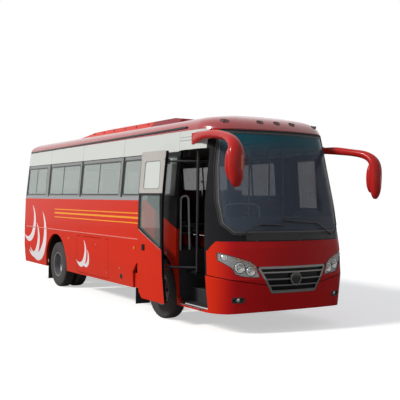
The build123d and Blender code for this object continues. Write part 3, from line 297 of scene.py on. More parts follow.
def face_zones(sh):
    """Painted shade on the face as a colder red, painted shade along the groove, and the black behind the
    grille; gives the face's mask and its x.
    """
    ahead = sh.flip(sh.above(sh.y, FACE_Y))
    across = sh.math("ABSOLUTE", sh.x)
    # Painted shade: a colder red over the face, fading out towards the corners
    sh.zone(FACE_SHADE_RED, ahead, sh.flip(sh.above(across, FACE_SHADE_HALF, FACE_SHADE_FADE)))
    line = GROOVE_Z
    for bend, slope in GROOVE_BENDS:
        past = sh.math("MAXIMUM", sh.minus(across, bend), 0.0)
        line = sh.plus(sh.times(past, slope), line)
    # Painted shade: a dark band along the groove, wider than the groove itself
    sh.zone(GROOVE_SHADE_RED, ahead, sh.band(sh.minus(sh.z, line), *GROOVE_SHADE_BAND))
    half = sh.plus(sh.times(sh.minus(sh.z, GRILLE_LOW), GRILLE_SLOPE), GRILLE_HALF)
    within = sh.math("LESS_THAN", across, half)
    sh.zone(BLACK, ahead, within, sh.band(sh.z, GRILLE_LOW - 0.003, GRILLE_TOP + 0.003))
    return ahead, across


# The pale part over the door: its foremost y and its two grey lines; then the black jamb's reach
# ahead of the closed leaf, and the slope, foremost y and depth of the black chamfer by the cowl
PALE_FRONT = -1.42
PALE_LINES = [(2.864, 2.876), (2.915, 2.925)]
JAMB_REACH = 0.04
CHAMFER_SLOPE = 0.9
CHAMFER_FRONT = -1.63
CHAMFER_DEPTH = 0.14


def mask_paint():
    """The front mask: red below the cowl, black round the glass and the door, pale above the door."""
    sh = paint("front_mask_paint")
    ahead, _ = face_zones(sh)
    sh.zone(BLACK, ahead, sh.above(sh.z, COWL_Z))
    sh.zone(BLACK, sh.flip(ahead), rising(sh, *BODY_SLANT))
    top = sh.both(sh.above(sh.z, PANEL_LOW + 0.02), sh.above(sh.y, PALE_FRONT))
    sh.zone(PALE, top)
    for low, high in PALE_LINES:
        sh.zone(BAND_GREY, sh.band(sh.z, low, high), top)
    jamb = sh.above(leaning(sh), LEAF_FRONT - LEAF_SHIFT - LEAF_SLOPE * LEAF_LOW - JAMB_REACH)
    slope = sh.plus(sh.y, sh.times(sh.z, CHAMFER_SLOPE))
    chamfer = sh.both(sh.above(slope, CHAMFER_FRONT + CHAMFER_SLOPE * COWL_Z),
                      sh.above(sh.z, COWL_Z - CHAMFER_DEPTH))
    sh.zone(BLACK, sh.flip(sh.above(sh.x, 0.0)), ahead, sh.either(jamb, chamfer))
    # Painted shade: deeper red on the forward-facing crown
    sh.zone(CROWN_SHADE_RED, ahead, sh.above(sh.z, CROWN_Z))
    return sh.done()


def bumper_paint():
    """The front bumper, with black in the slots of the fog lamps."""
    sh = paint("front_bumper_paint")
    ahead, across = face_zones(sh)
    sh.zone(BLACK, ahead, sh.band(across, FOG_X - 0.088, FOG_X + 0.088),
            sh.band(sh.z, FOG_Z - 0.038, FOG_Z + 0.038))
    return sh.done()


def cooler_paint():
    """The roof cooling unit: a darker red painted as shade on the cowl ahead of the lid."""
    sh = paint("cooler_paint")
    # Painted shade on the forward cowl
    sh.zone(COOLER_SHADE_RED, sh.flip(sh.above(sh.y, 1.25)))
    return sh.done()


def door_paint():
    """The leaf: beige above, black round the lower pane, on the lock and the front edge, red below."""
    sh = paint("door_paint")
    sh.zone(BLACK, rising(sh, *LEAF_SLANT))
    sh.zone(BEIGE, sh.above(sh.z, LEAF_BEIGE_Z))
    sh.zone(BLACK, sh.flip(sh.above(leaning(sh), LEAF_FRONT - LEAF_SLOPE * LEAF_LOW + 0.022)))
    sh.zone(BLACK, sh.band(sh.y, *LEAF_LOCK_Y), sh.band(sh.z, *LEAF_LOCK_Z))
    return sh.done()


# Bowls of the left headlamp: x, z and radius
REFLECTORS = [(-0.895, 0.975, 0.082), (-0.735, 0.925, 0.074), (-1.09, 1.118, 0.038)]
# Dark ring and bright bowl: share of the radius, colour
BOWL_TONES = [(1.08, (0.025, 0.025, 0.03)), (0.88, (0.62, 0.62, 0.60))]


def lamp_paint():
    """The lamp housings: bright bowls, each in a dark ring, on a grey ground."""
    sh = Shader("lamp_reflector", (0.24, 0.24, 0.235), metal=0.8)
    sh.locate()
    across = sh.math("ABSOLUTE", sh.x)
    for share, tone in BOWL_TONES:
        for x, z, radius in REFLECTORS:
            sh.zone(tone, disc(sh, across, -x, z, radius * share))
    sh.vary(5.0, 0.2)
    sh.rough(0.14, 0.30, 30.0)
    sh.bump(120.0, 0.03)
    return sh.done()


def marker_lens():
    """Amber side lamps, and darker lamps on the dome."""
    sh = Shader("marker_lens", (0.80, 0.30, 0.02), Coat_Weight=0.3)
    sh.locate()
    sh.zone((0.10, 0.035, 0.02), sh.above(sh.z, 2.5))
    sh.vary(5.0, 0.3)
    sh.rough(0.08, 0.22, 30.0)
    return sh.done()


def plain(name, color, rough, metal=0.0, grain=30.0, amount=0.2, bump=0.1, depth=0.001, **sockets):
    """A one-colour material with its own grain in colour, roughness and height."""
    sh = Shader(name, color, rough, metal, **sockets)
    sh.vary(grain / 6, amount)
    sh.rough(max(rough - 0.08, 0.02), min(rough + 0.1, 1.0), grain)
    if bump:
        sh.bump(grain * 4, bump, depth)
    return sh.done()


def glass(name, color, alpha, index=1.5, gloss=0.3, top=None):
    """Tinted glass, with another colour above a height if asked, a tint on the windscreen and a painted
    reflection on the door's upper pane; a higher index reflects more.
    """
    sh = Shader(name, color, 0.03, Specular_IOR_Level=gloss, IOR=index)
    if top:
        low, high, top_color, top_alpha = top
        sh.locate()
        mask = sh.ramp(sh.z, low, high)
        sh.zone(top_color, mask)
        alpha = sh.ramp(mask, 0.0, 1.0, alpha, top_alpha)
    else:
        sh.vary(0.8, 0.2)
    sh.feed(sh.bsdf["Alpha"], alpha)
    return sh.done()


def make_materials():
    """Every material by short name. Plain ones: name, colour, roughness, metal, grain, change, bump."""
    return {
        "body": body_paint(),
        "mask": mask_paint(),
        "door": door_paint(),
        "bumper": bumper_paint(),
        "cooler": cooler_paint(),
        "marker": marker_lens(),
        "reflector": lamp_paint(),
        "red": plain("red_paint", RED, 0.3, 0, 8, 0.08, 0.03, Specular_IOR_Level=0.08,
                     Coat_Weight=0.10, Coat_Roughness=0.08),
        # The mirrors' deeper red is painted shade, a darker copy of the body red
        "mirror_shade_red": plain("mirror_shade_paint", (0.48, 0.016, 0.014), 0.28, 0, 8, 0.08, 0.03,
                            Specular_IOR_Level=0.08, Coat_Weight=0.20, Coat_Roughness=0.08),
        # The moulding's lighter, more orange red is a painted highlight along the crease, under a glossier
        # coat
        "gloss_highlight_red": plain("moulding_highlight_paint", (0.74, 0.10, 0.05), 0.15, 0, 8, 0.08, 0.02,
                           Coat_Weight=0.8, Coat_Roughness=0.05),
        # The roof's deeper, colder red is painted shade of its forward dome, a darker copy of the body red
        "roof": plain("roof_shade_paint", (0.36, 0.018, 0.024), 0.26, 0, 6, 0.15, 0, Coat_Weight=0.65,
                      Coat_Roughness=0.12),
        "black": plain("black_trim", BLACK, 0.35, 0, 40, 0.3),
        "rubber": plain("rubber", (0.02, 0.02, 0.021), 0.7, 0, 60, 0.35, 0.3),
        "tyre": plain("tyre_rubber", (0.05, 0.047, 0.045), 0.85, 0, 18, 0.5, 0.4, 0.003),
        "rim": plain("wheel_steel", (0.30, 0.30, 0.32), 0.45, 0.3, 24, 0.45, 0.15),
        "chassis": plain("chassis_black", (0.02, 0.02, 0.022), 0.6, 0, 20, 0.5, 0.2),
        "iron": plain("cast_iron", (0.06, 0.055, 0.05), 0.65, 0.5, 30, 0.5, 0.4, 0.002),
        "floor": plain("floor_vinyl", (0.025, 0.026, 0.03), 0.55, 0, 50, 0.4, 0.3),
        "inside": plain("inside_panel", (0.16, 0.165, 0.17), 0.6, 0, 40, 0.15),
        "rail": plain("rail_enamel", (0.6, 0.6, 0.6), 0.3, 0, 20, 0.15, 0.05),
        "chrome": plain("dull_chrome", (0.20, 0.195, 0.19), 0.32, 0.85, 30, 0.2, 0.05),
        "seat_black": plain("seat_fabric", (0.016, 0.016, 0.02), 0.9, 0, 90, 0.5, 0.6, 0.002,
                            Sheen_Weight=0.3),
        "seat_red": plain("seat_red_fabric", (0.20, 0.012, 0.02), 0.9, 0, 90, 0.4, 0.6, 0.002,
                          Sheen_Weight=0.3),
        "mirror": plain("mirror_glass", (0.85, 0.86, 0.88), 0.03, 1.0, 4, 0.02, 0),
        "amber": plain("amber_lens", (0.75, 0.20, 0.01), 0.12, 0, 30, 0.3, Coat_Weight=0.3),
        "tail": plain("tail_lens", (0.40, 0.005, 0.006), 0.12, 0, 30, 0.3, Coat_Weight=0.8),
        "bright": plain("bright_metal", (0.62, 0.62, 0.63), 0.15, 0.95, 24, 0.1, 0.02),
        "bulb": plain("bulb_cap", (0.55, 0.55, 0.54), 0.25, 0.6, 30, 0.2, 0.02),
        "gloss_black": plain("gloss_black", (0.010, 0.010, 0.011), 0.15, 0, 20, 0.2, 0.02),
        "trim_grey": plain("grey_trim", (0.16, 0.17, 0.18), 0.4, 0, 40),
        "cowl": plain("cowl_plastic", (0.045, 0.046, 0.05), 0.5, 0, 80, 0.3, 0.3),
        "nosing": plain("step_nosing", (0.10, 0.10, 0.09), 0.5, 0.3, 90, 0.3, 0.4),
        "inside_dark": plain("dash_skin", (0.020, 0.024, 0.036), 0.6, 0, 120, 0.3, 0.4),
        "bolt": plain("nut_steel", (0.11, 0.105, 0.10), 0.5, 0.6, 60, 0.5, 0.2),
        "belt": plain("belt_webbing", (0.42, 0.41, 0.38), 0.85, 0, 150, 0.2, 0.5),
        "tail_dark": plain("tail_lens_ring", (0.16, 0.004, 0.004), 0.2, 0, 30, 0.3),
        "lens": glass("clear_lens", (0.75, 0.78, 0.8), 0.12),
        "fog_lens": glass("fog_lens", (0.05, 0.05, 0.055), 0.75),
        "side_glass": glass("side_glass", (0.34, 0.42, 0.39), 0.62, 2.8, 0.5),
        # Door panes: a dark tint below, and above 2.02 to 2.08 m a pale colour that is a painted reflection
        # of the sky
        "leaf_glass": glass("door_glass", (0.10, 0.16, 0.15), 0.50, 2.0, 0.5,
                            (2.02, 2.08, (0.62, 0.68, 0.64), 0.85)),
        "windscreen": glass("windscreen_glass", (0.095, 0.125, 0.175), 0.43, 1.5, 0.12,
                            (2.62, 2.86, (0.004, 0.105, 0.150), 0.93)),
    }


# The CAD nodes that take each material
NODE_MATERIALS = {
    "body": ["side_wall_left", "side_wall_right", "luggage_door_left", "luggage_door_right", "rear_panel"],
    "mask": ["front_mask"],
    "door": ["entry_door"],
    "red": ["rear_bumper", "boot_lid"],
    "mirror_shade_red": ["mirrors"],
    "bumper": ["front_bumper"],
    "cooler": ["roof_cooling_unit"],
    "roof": ["roof"],
    "black": ["gutters", "window_frames", "wipers", "door_arm", "door_post_brackets", "steering_wheel"],
    "rubber": ["mud_flaps"],
    "tyre": ["front_tyre_left", "front_tyre_right", "rear_tyres_left", "rear_tyres_right"],
    "rim": ["front_wheel_left", "front_wheel_right", "rear_wheels_left", "rear_wheels_right"],
    "chassis": ["chassis_frame", "fuel_tank", "luggage_bays", "wheel_houses"],
    "iron": ["engine", "drive_shaft", "exhaust", "front_axle", "rear_axle", "knuckle_left", "knuckle_right",
             "leaf_springs"],
    "floor": ["floor", "step_well", "dashboard", "engine_cover"],
    "inside": ["luggage_racks", "seat_frames"],
    "rail": ["handrails"],
    "chrome": ["grille"],
    "reflector": ["lamp_housings"],
    "seat_black": ["seat_cushions", "seat_backs"],
    "mirror": ["mirror_glass"],
    "marker": ["marker_lamps"],
    "tail": ["tail_lamps"],
    "lens": ["headlamps"],
    "fog_lens": ["fog_lamps"],
    "side_glass": ["side_glass", "rear_window"],
    "leaf_glass": ["entry_door_glass"],
    "windscreen": ["windscreen"],
}


def dress_nodes():
    """Gives every CAD node its material."""
    for key, nodes in NODE_MATERIALS.items():
        for name in nodes:
            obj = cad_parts[name]
            obj.data.materials.clear()
            obj.data.materials.append(materials[key])


def along(y):
    """A distance behind the front axle, as a Y in the model's frame."""
    return AXLE_Y + y


def spot(x, y, z):
    """A point whose y is a distance behind the front axle."""
    return Vector((x, along(y), z))


def square_to(axis, spare):
    """Two directions square to an axis; a steep axis is measured from the spare direction."""
    guide = UP if abs(axis.z) < 0.9 else spare
    side = axis.cross(guide).normalized()
    return side, side.cross(axis)


def loop(centre, directions, radius, count, flat=1.0):
    """Points round a centre; flat squeezes them in their second direction."""
    side, up = directions
    turns = [2 * pi * k / count for k in range(count)]
    return [centre + side * radius * cos(t) + up * radius * flat * sin(t) for t in turns]


class Build:
    """Collects the faces of one piece, with a material number for each."""

    def __init__(self):
        self.verts = []
        self.faces = []
        self.marks = []

    def add(self, verts, faces, mark=0):
        start = len(self.verts)
        self.verts += [tuple(v) for v in verts]
        self.faces += [tuple(start + i for i in face) for face in faces]
        self.marks += [mark] * len(faces)

    def rings(self, rings, mark=0, closed=False):
        """Skins a row of equal rings of points; closed joins the last to the first."""
        size = len(rings[0])
        count = len(rings)
        faces = []
        for r in range(count if closed else count - 1):
            a = r * size
            b = (r + 1) % count * size
            for i in range(size):
                j = (i + 1) % size
                faces.append((a + i, a + j, b + j, b + i))
        if not closed:
            faces.append(tuple(reversed(range(size))))
            faces.append(tuple(range((count - 1) * size, count * size)))
        self.add([v for ring in rings for v in ring], faces, mark)

    def tube(self, points, radius, sides=8, mark=0, closed=False, flat=1.0):
        """A tube along points; flat squeezes it across its second direction."""
        points = [Vector(p) for p in points]
        last = len(points) - 1
        rings = []
        for index, point in enumerate(points):
            after = points[(index + 1) % len(points)] if closed else points[min(index + 1, last)]
            before = points[index - 1] if closed else points[max(index - 1, 0)]
            directions = square_to((after - before).normalized(), Vector((0, 1, 0)))
            rings.append(loop(point, directions, radius, sides, flat))
        self.rings(rings, mark, closed)

    def lathe(self, profile, centre, axis, steps=32, mark=0, ring=False):
        """Turns a profile of (along, radius) points about an axis; a ring's profile closes on itself."""
        axis = Vector(axis).normalized()
        centre = Vector(centre)
        directions = square_to(axis, Vector((1, 0, 0)))
        rings = [loop(centre + axis * reach, directions, radius, steps) for reach, radius in profile]
        self.rings(rings, mark, ring)

    def box(self, low, high, mark=0, taper=0.0):
        """A box whose upper face is smaller by the taper."""
        x0, y0, z0 = low
        x1, y1, z1 = high
        verts = []
        for z, t in ((z0, 0.0), (z1, taper)):
            verts += [(x0 + t, y0 + t, z), (x1 - t, y0 + t, z), (x1 - t, y1 - t, z), (x0 + t, y1 - t, z)]
        faces = [(3, 2, 1, 0), (4, 5, 6, 7), (0, 1, 5, 4), (1, 2, 6, 5), (2, 3, 7, 6), (3, 0, 4, 7)]
        self.add(verts, faces, mark)

    def ribbon(self, inner, outer, thick, mark=0, closed=True):
        """A thin band between two lines of surface points with their normals."""
        rings = []
        for (a, normal), (b, _) in zip(inner, outer):
            rings.append([a, b, b + normal * thick, a + normal * thick])
        self.rings(rings, mark, closed)

    def make(self, name, body, slot, *keys, bevel=0.0, subdivide=0):
        """The piece itself, riding on a body, with its materials by their short names."""
        mesh = bpy.data.meshes.new(name)
        mesh.from_pydata(self.verts, [], self.faces)
        for key in keys:
            mesh.materials.append(materials[key])
        for face, mark in zip(mesh.polygons, self.marks):
            face.material_index = mark
            face.use_smooth = True
        work = bmesh.new()
        work.from_mesh(mesh)
        bmesh.ops.recalc_face_normals(work, faces=work.faces)
        work.to_mesh(mesh)
        work.free()
        obj = bpy.data.objects.new(name, mesh)
        bpy.context.collection.objects.link(obj)
        if bevel:
            edge = obj.modifiers.new("edges", "BEVEL")
            edge.width = bevel
            edge.segments = 2
            edge.angle_limit = radians(40)
        if subdivide:
            soft = obj.modifiers.new("soft", "SUBSURF")
            soft.levels = subdivide
            soft.render_levels = subdivide
        else:
            mesh.set_sharp_from_angle(angle=radians(42))
        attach(obj, body)
        return obj


def skin_tree(*nodes):
    """A search tree over some nodes, so that trim lies on their outside."""
    verts = []
    faces = []
    for name in nodes:
        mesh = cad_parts[name].data
        start = len(verts)
        verts += [v.co.copy() for v in mesh.vertices]
        faces += [tuple(start + i for i in face.vertices) for face in mesh.polygons]
    return BVHTree.FromPolygons(verts, faces)


def on_skin(tree, start, direction, lift=0.0):
    """The first point of a surface along a line, lifted off it, and its normal towards the start."""
    direction = Vector(direction)
    place, normal, _, _ = tree.ray_cast(Vector(start), direction)
    if place is None:
        return None
    if normal.dot(direction) > 0:
        normal = -normal
    return place + normal * lift, normal


def on_front(tree, x, z, lift=0.0):
    return on_skin(tree, (x, -6.0, z), -AHEAD, lift)


def on_back(tree, x, z):
    return on_skin(tree, (x, 6.0, z), AHEAD)


def on_side(tree, side, y, z, lift=0.0):
    return on_skin(tree, spot(side * 3.0, y, z), (-side, 0, 0), lift)


def front_line(tree, points, lift=0.0):
    """A line of (x, z) points laid on the front."""
    return [on_front(tree, x, z, lift) for x, z in points]


def side_line(tree, side, points, lift=0.0):
    """A line of (y, z) points laid on a side."""
    return [on_side(tree, side, y, z, lift) for y, z in points]


def places(hits):
    """The points of a line on a surface, without their normals."""
    return [hit[0] for hit in hits if hit]


def front_oval(tree, x, z, wide, high, count, apart=0.0):
    """The points of an oval on the front; apart parts its two halves."""
    points = []
    for k in range(count):
        turn = 2 * pi * k / count
        shift = apart if cos(turn) > 0 else -apart
        points.append((x + shift + wide * cos(turn), z + high * sin(turn)))
    return places(front_line(tree, points))


def rounded(points, radius, steps=5):
    """A closed outline with its corners cut by small curves."""
    made = []
    count = len(points)
    for index in range(count):
        corner = Vector(points[index])
        before = Vector(points[index - 1]) - corner
        after = Vector(points[(index + 1) % count]) - corner
        turn = pi - before.angle(after)
        cut = min(radius * tan(turn / 2), before.length * 0.45, after.length * 0.45)
        a = corner + before.normalized() * cut
        b = corner + after.normalized() * cut
        for step in range(steps + 1):
            t = step / steps
            made.append(a * (1 - t) ** 2 + corner * 2 * t * (1 - t) + b * t ** 2)
    return made


def dense(points, step=0.06, closed=True):
    """The same line with points no further apart than a step."""
    made = []
    count = len(points)
    for index in range(count if closed else count - 1):
        a = Vector(points[index])
        b = Vector(points[(index + 1) % count])
        pieces = max(1, int((b - a).length / step))
        made += [a.lerp(b, k / pieces) for k in range(pieces)]
    if not closed:
        made.append(Vector(points[-1]))
    return made


def inset(points, width):
    """A closed outline moved inward."""
    count = len(points)
    middle = sum(points, Vector((0, 0))) / count
    made = []
    for index, point in enumerate(points):
        ahead = (points[(index + 1) % count] - points[index - 1]).normalized()
        normal = Vector((-ahead.y, ahead.x))
        if normal.dot(middle - point) < 0:
            normal = -normal
        made.append(point + normal * width)
    return made


# Front outlines as (x, z) points, the same as the openings
WINDSCREEN = [
    (-0.96, 1.45), (0.96, 1.45), (1.11, 1.60), (1.128, 1.95), (1.08, 2.46), (0.985, 3.0),
    (-0.985, 3.0), (-1.08, 2.46), (-1.128, 1.95), (-1.11, 1.60),
]
HEADLAMP = [
    (-1.17, 1.19), (-0.924, 1.117), (-0.74, 1.056), (-0.66, 0.995), (-0.611, 0.832), (-0.85, 0.848),
    (-0.965, 0.885), (-1.01, 0.975), (-1.165, 1.08),
]
LAMP_STRIP = [(-0.985, 1.115), (-0.924, 1.097), (-0.75, 1.040), (-0.68, 0.982), (-0.665, 0.93)]
# Bands on the glass: distance from the edge inside and outside, lift, thickness, material
GLASS_BANDS = [(0.055, 0.006, 0.0012, 0.0006, 0), (0.040, 0.034, 0.002, 0.0008, 1)]


def make_windscreen_trim():
    """The rubber round the windscreen, the black border printed on the glass and its bright line."""
    skin = skin_tree("front_mask", "windscreen")
    edge = dense(rounded(WINDSCREEN, 0.055))
    build = Build()
    build.tube(places(front_line(skin, inset(edge, -0.004))), 0.009, 8, closed=True, flat=0.8)
    for inside, outside, lift, thick, mark in GLASS_BANDS:
        inner = front_line(skin, inset(edge, inside), lift)
        outer = front_line(skin, inset(edge, outside), lift)
        build.ribbon(inner, outer, thick, mark)
    build.make("windscreen_trim", "body", "black_trim", "rubber", "trim_grey")


# Louvred cowl under the windscreen: first and last X, first and last height, how many ribs
COWL = (-0.78, 0.94, 1.372, 1.432, 5)
COWL_STEPS = 24
RIB_HALF = 0.0035
NOZZLE_XS = (-0.62, 0.10, 0.62)


def make_cowl():
    """The louvres of the cowl, and the nozzles of the washers."""
    skin = skin_tree("front_mask")
    build = Build()
    x0, x1, low, high, count = COWL
    xs = [x0 + (x1 - x0) * k / COWL_STEPS for k in range(COWL_STEPS + 1)]
    for rib in range(count):
        z = low + (high - low) * rib / (count - 1)
        lower = front_line(skin, [(x, z - RIB_HALF) for x in xs])
        upper = front_line(skin, [(x, z + RIB_HALF) for x in xs])
        build.ribbon(lower, upper, 0.006, closed=False)
    for x in NOZZLE_XS:
        place, normal = on_front(skin, x, low - 0.014)
        build.lathe([(-0.004, 0.011), (0.004, 0.011), (0.008, 0.007), (0.008, 0.001)], place, normal, 12)
    build.make("cowl_louvres", "body", "black_trim", "cowl")


# Bulb cap: distance ahead, share of the bowl's radius
BULB_CAP = [(0.0, 0.30), (0.010, 0.30), (0.016, 0.24), (0.018, 0.1)]
BOWL_STEPS = 40
FOG_BULB = [(0.0, 0.026), (0.002, 0.025), (0.004, 0.018), (0.005, 0.0005)]


def make_lamps():
    """What shows inside the headlamps and fog lamps: rims, bulbs with their caps, and seals."""
    housings = skin_tree("lamp_housings")
    faces = skin_tree("front_mask", "front_bumper")
    lens = skin_tree("headlamps")
    fog = skin_tree("fog_lamps")
    rims = Build()
    seals = Build()
    for _, side in SIDES:
        for x, z, radius in REFLECTORS:
            place, _ = on_front(housings, -side * x, z)
            cap = [(reach, radius * share) for reach, share in BULB_CAP] + [(0.018, 0.0005)]
            rims.lathe(cap, place + AHEAD * 0.004, AHEAD, 24, 1)
            bowl = radius * 0.845
            ring = front_oval(housings, -side * x, z, bowl, bowl, BOWL_STEPS)
            if len(ring) == BOWL_STEPS:
                rims.tube(ring, 0.0035, 6, closed=True)
        strip = dense([(-side * x, z) for x, z in LAMP_STRIP], 0.03, closed=False)
        rims.tube(places(front_line(lens, strip, 0.001)), 0.006, 6, 2)
        edge = dense(rounded([(-side * x, z) for x, z in HEADLAMP], 0.012), 0.04)
        seals.tube(places(front_line(faces, inset(edge, -0.003))), 0.004, 6, closed=True)
        slot = front_oval(faces, side * FOG_X, FOG_Z, 0.039, 0.039, 36, 0.0475)
        seals.tube(slot, 0.005, 6, closed=True)
        place, normal = on_front(fog, side * FOG_X, FOG_Z)
        rims.lathe(FOG_BULB, place, normal, 24)
    rims.make("lamp_rims", "body", "chrome", "bright", "bulb", "amber")
    seals.make("lamp_seals", "body", "black_trim", "rubber")


BADGE = [(0.0, 0.083), (0.0025, 0.0825), (0.005, 0.070), (0.007, 0.045), (0.0078, 0.02), (0.008, 0.0005)]


def make_badge():
    """A bare domed disc inside the ring in the middle of the grille."""
    place, _ = on_front(skin_tree("grille"), 0.0, 0.80)
    build = Build()
    build.lathe(BADGE, place, AHEAD, 48)
    build.make("badge_disc", "body", "black_trim", "gloss_black")


# Wiper blades: the arm's elbow and tip as (x, z)
WIPER_BLADES = [((-0.555, 1.60), (-0.17, 1.59)), ((0.52, 1.61), (-0.15, 1.66))]
BLADE_STEPS = 14
BLADE_DROP = 0.016


def make_wiper_blades():
    """The rubber blades and their bridges, pressed on the glass."""
    skin = skin_tree("windscreen", "front_mask")
    build = Build()
    for (x0, z0), (x1, z1) in WIPER_BLADES:
        shares = [-0.12 + 1.2 * k / BLADE_STEPS for k in range(BLADE_STEPS + 1)]
        line = [(x0 + (x1 - x0) * t, z0 + (z1 - z0) * t - BLADE_DROP) for t in shares]
        build.tube(places(front_line(skin, line, 0.006)), 0.005, 6, flat=1.3)
        build.tube(places(front_line(skin, line, 0.014))[2:-2], 0.004, 6)
    build.make("wiper_blades", "body", "rubber", "rubber")


# Fittings on the sides: material, y, height, radius; the filler cap is on the door side only
CAP, LOCK, REFLECTOR = range(3)
SIDE_FITTINGS = [(CAP, 1.443, 0.554, 0.042), (LOCK, 2.56, 1.054, 0.014), (LOCK, 2.07, 0.565, 0.012),
                 (REFLECTOR, 1.495, 0.69, 0.020), (REFLECTOR, -0.28, 1.08, 0.022),
                 (REFLECTOR, 4.0, 0.69, 0.020), (REFLECTOR, 6.3, 0.69, 0.020)]
LATCH_YS = (6.24, 4.50, 2.56, 0.79)
LATCH_DEPTH = 0.006


def make_side_fittings():
    """Filler cap, locks, side reflectors and window latches."""
    skin = skin_tree("side_wall_left", "side_wall_right", "luggage_door_left", "luggage_door_right",
                     "front_mask")
    build = Build()
    for _, side in SIDES:
        for mark, y, z, radius in SIDE_FITTINGS:
            if mark == CAP and side > 0:
                continue
            place, normal = on_side(skin, side, y, z)
            rim = [(0.0, radius * 1.18), (0.003, radius * 1.15), (0.004, radius * 1.02),
                   (0.001, radius * 1.01)]
            dome = [(0.003, radius), (0.008, radius * 0.94), (0.010, radius * 0.6), (0.010, 0.0005)]
            build.lathe(rim, place, normal, 24, ring=True)
            build.lathe(dome, place, normal, 24, mark)
        for y in LATCH_YS:
            place, _ = on_side(skin, side, y, 2.66)
            foot = place.x - side * 2 * LATCH_DEPTH
            low, high = sorted((foot, foot + side * LATCH_DEPTH))
            build.box((low, along(y) - 0.05, 2.30), (high, along(y) + 0.05, 2.335))
    build.make("side_fittings", "body", "black_trim", "gloss_black", "bright", "amber")


# Seals of the leaf's panes: outline (y, z), corner, thickness, material; and its bright line
LEAF_SEALS = [
    ([(0.03, 2.12), (0.03, 2.55), (-0.46, 2.55), (-0.50, 2.12)], 0.05, 0.004, 2),
    ([(0.105, 1.50), (0.11, 2.01), (-0.55, 2.01), (-0.625, 1.20)], 0.03, 0.007, 0),
]
LEAF_LINE = [(0.125, 1.455), (-0.62, 1.175)]


def make_door_trim():
    """The seals round the leaf's panes and the bright line under the lower one."""
    skin = skin_tree("entry_door", "entry_door_glass")
    build = Build()
    slant = dense(LEAF_LINE, 0.08, closed=False)
    low, high = [side_line(skin, -1, [(y, z + shift) for y, z in slant]) for shift in (-0.006, 0.006)]
    build.ribbon(low, high, 0.003, 1, closed=False)
    for points, corner, radius, mark in LEAF_SEALS:
        edge = dense(rounded(points, corner), 0.08)
        build.tube(places(side_line(skin, -1, inset(edge, -0.004))), radius, 6, mark, closed=True)
    build.make("door_trim", "entry_door", "rubber", "rubber", "bright", "trim_grey")


# Lamps on the dome, and the moulding along the crease of each side
ROOF_LAMP_XS = (-0.855, -0.306, 0.0, 0.306, 0.855)
ROOF_LAMP_Z = 3.138
MOULDING_ENDS = (0.62, 7.0)
MOULDING_Z = 1.252
MOULDING_STEPS = 79


def make_side_mouldings():
    """The rounded moulding along the crease, and black rims round the roof lamps."""
    skin = skin_tree("side_wall_left", "side_wall_right")
    build = Build()
    first, last = MOULDING_ENDS
    ys = [first + (last - first) * k / MOULDING_STEPS for k in range(MOULDING_STEPS + 1)]
    for _, side in SIDES:
        line = side_line(skin, side, [(y, MOULDING_Z) for y in ys], -0.004)
        build.tube(places(line), 0.012, 8)
    # The moulding takes a lighter red as a painted highlight along the crease
    build.make("side_mouldings", "body", "red", "gloss_highlight_red")
    dome = skin_tree("roof", "front_mask", "marker_lamps")
    rims = Build()
    for x in ROOF_LAMP_XS:
        rims.tube(front_oval(dome, x, ROOF_LAMP_Z, 0.052, 0.027, 24), 0.007, 6, closed=True)
    rims.make("roof_lamp_rims", "body", "black_trim", "rubber")


# Step well: its front and rear, the sill's x, and the depth of a tread
WELL_FRONT = -1.478
WELL_REAR = -0.588
SILL_X = -1.1897
TREAD = (-0.48 - SILL_X) / 3


def make_steps():
    """Nosings on the steps and a bright strip along the sill."""
    build = Build()
    for step, z in ((1, 0.56), (2, 0.76)):
        x = SILL_X + TREAD * step
        build.box((x - 0.002, along(WELL_FRONT), z - 0.002), (x + 0.024, along(WELL_REAR), z + 0.004))
    build.box((-0.51, along(WELL_FRONT), 0.949), (-0.478, along(WELL_REAR), 0.954))
    build.box((-1.232, along(-1.38), 0.334), (-1.192, along(-0.72), 0.341), 1)
    build.make("step_nosings", "body", "floor", "nosing", "bright", bevel=0.002)


# Poles behind the driver: x, foot height
POLES = [(0.346, 1.281), (0.77, 1.151), (1.08, 1.151)]
POLE_Y = -0.30
POLE_TOP = 2.86
POLE_BARS = (1.62, 2.02)
ENTRY_RAIL = [(-0.96, -1.52, 1.66), (-0.96, -1.52, 1.83), (-0.90, -1.53, 1.885), (-0.70, -1.55, 1.90),
              (-0.45, -1.57, 1.89), (-0.36, -1.58, 1.84), (-0.36, -1.58, 1.66)]
ROOF_RAIL_X = 0.55
ROOF_RAIL_Z = 2.70
HANGER_YS = (0.2, 1.75, 3.3, 4.85, 6.4)
HANGER_TOP = 3.19


def make_poles():
    """The partition rails behind the driver, the entry rail on the dashboard and the roof rails."""
    build = Build()
    for x, foot in POLES:
        build.tube([spot(x, POLE_Y, foot), spot(x, POLE_Y, POLE_TOP)], 0.014, 10)
        build.lathe([(0.0, 0.032), (0.006, 0.030), (0.010, 0.016)], spot(x, POLE_Y, foot), UP, 16)
    for z in POLE_BARS:
        build.tube([spot(POLES[0][0], POLE_Y, z), spot(POLES[-1][0], POLE_Y, z)], 0.012, 10)
    build.tube([spot(*point) for point in ENTRY_RAIL], 0.013, 10)
    for _, side in SIDES:
        x = side * ROOF_RAIL_X
        build.tube([spot(x, HANGER_YS[0], ROOF_RAIL_Z), spot(x, HANGER_YS[-1], ROOF_RAIL_Z)], 0.013, 10)
        for y in HANGER_YS:
            build.tube([spot(x, y, ROOF_RAIL_Z), spot(x, y, HANGER_TOP)], 0.010, 8)
    build.make("grab_rails", "body", "interior", "rail")


# Instrument hood: its place, half width and rise, then its sections as (y from the place, share)
HOOD = (0.64, -1.60, 1.70)
HOOD_HALF = 0.24
HOOD_RISE = 0.10
HOOD_SECTIONS = [(-0.06, 0.9), (0.0, 1.0), (0.16, 1.0)]
DIALS = [(0.54, 0.055), (0.67, 0.055), (0.77, 0.030)]
VENT_XS = (-0.75, -0.25, 0.15, 1.0)


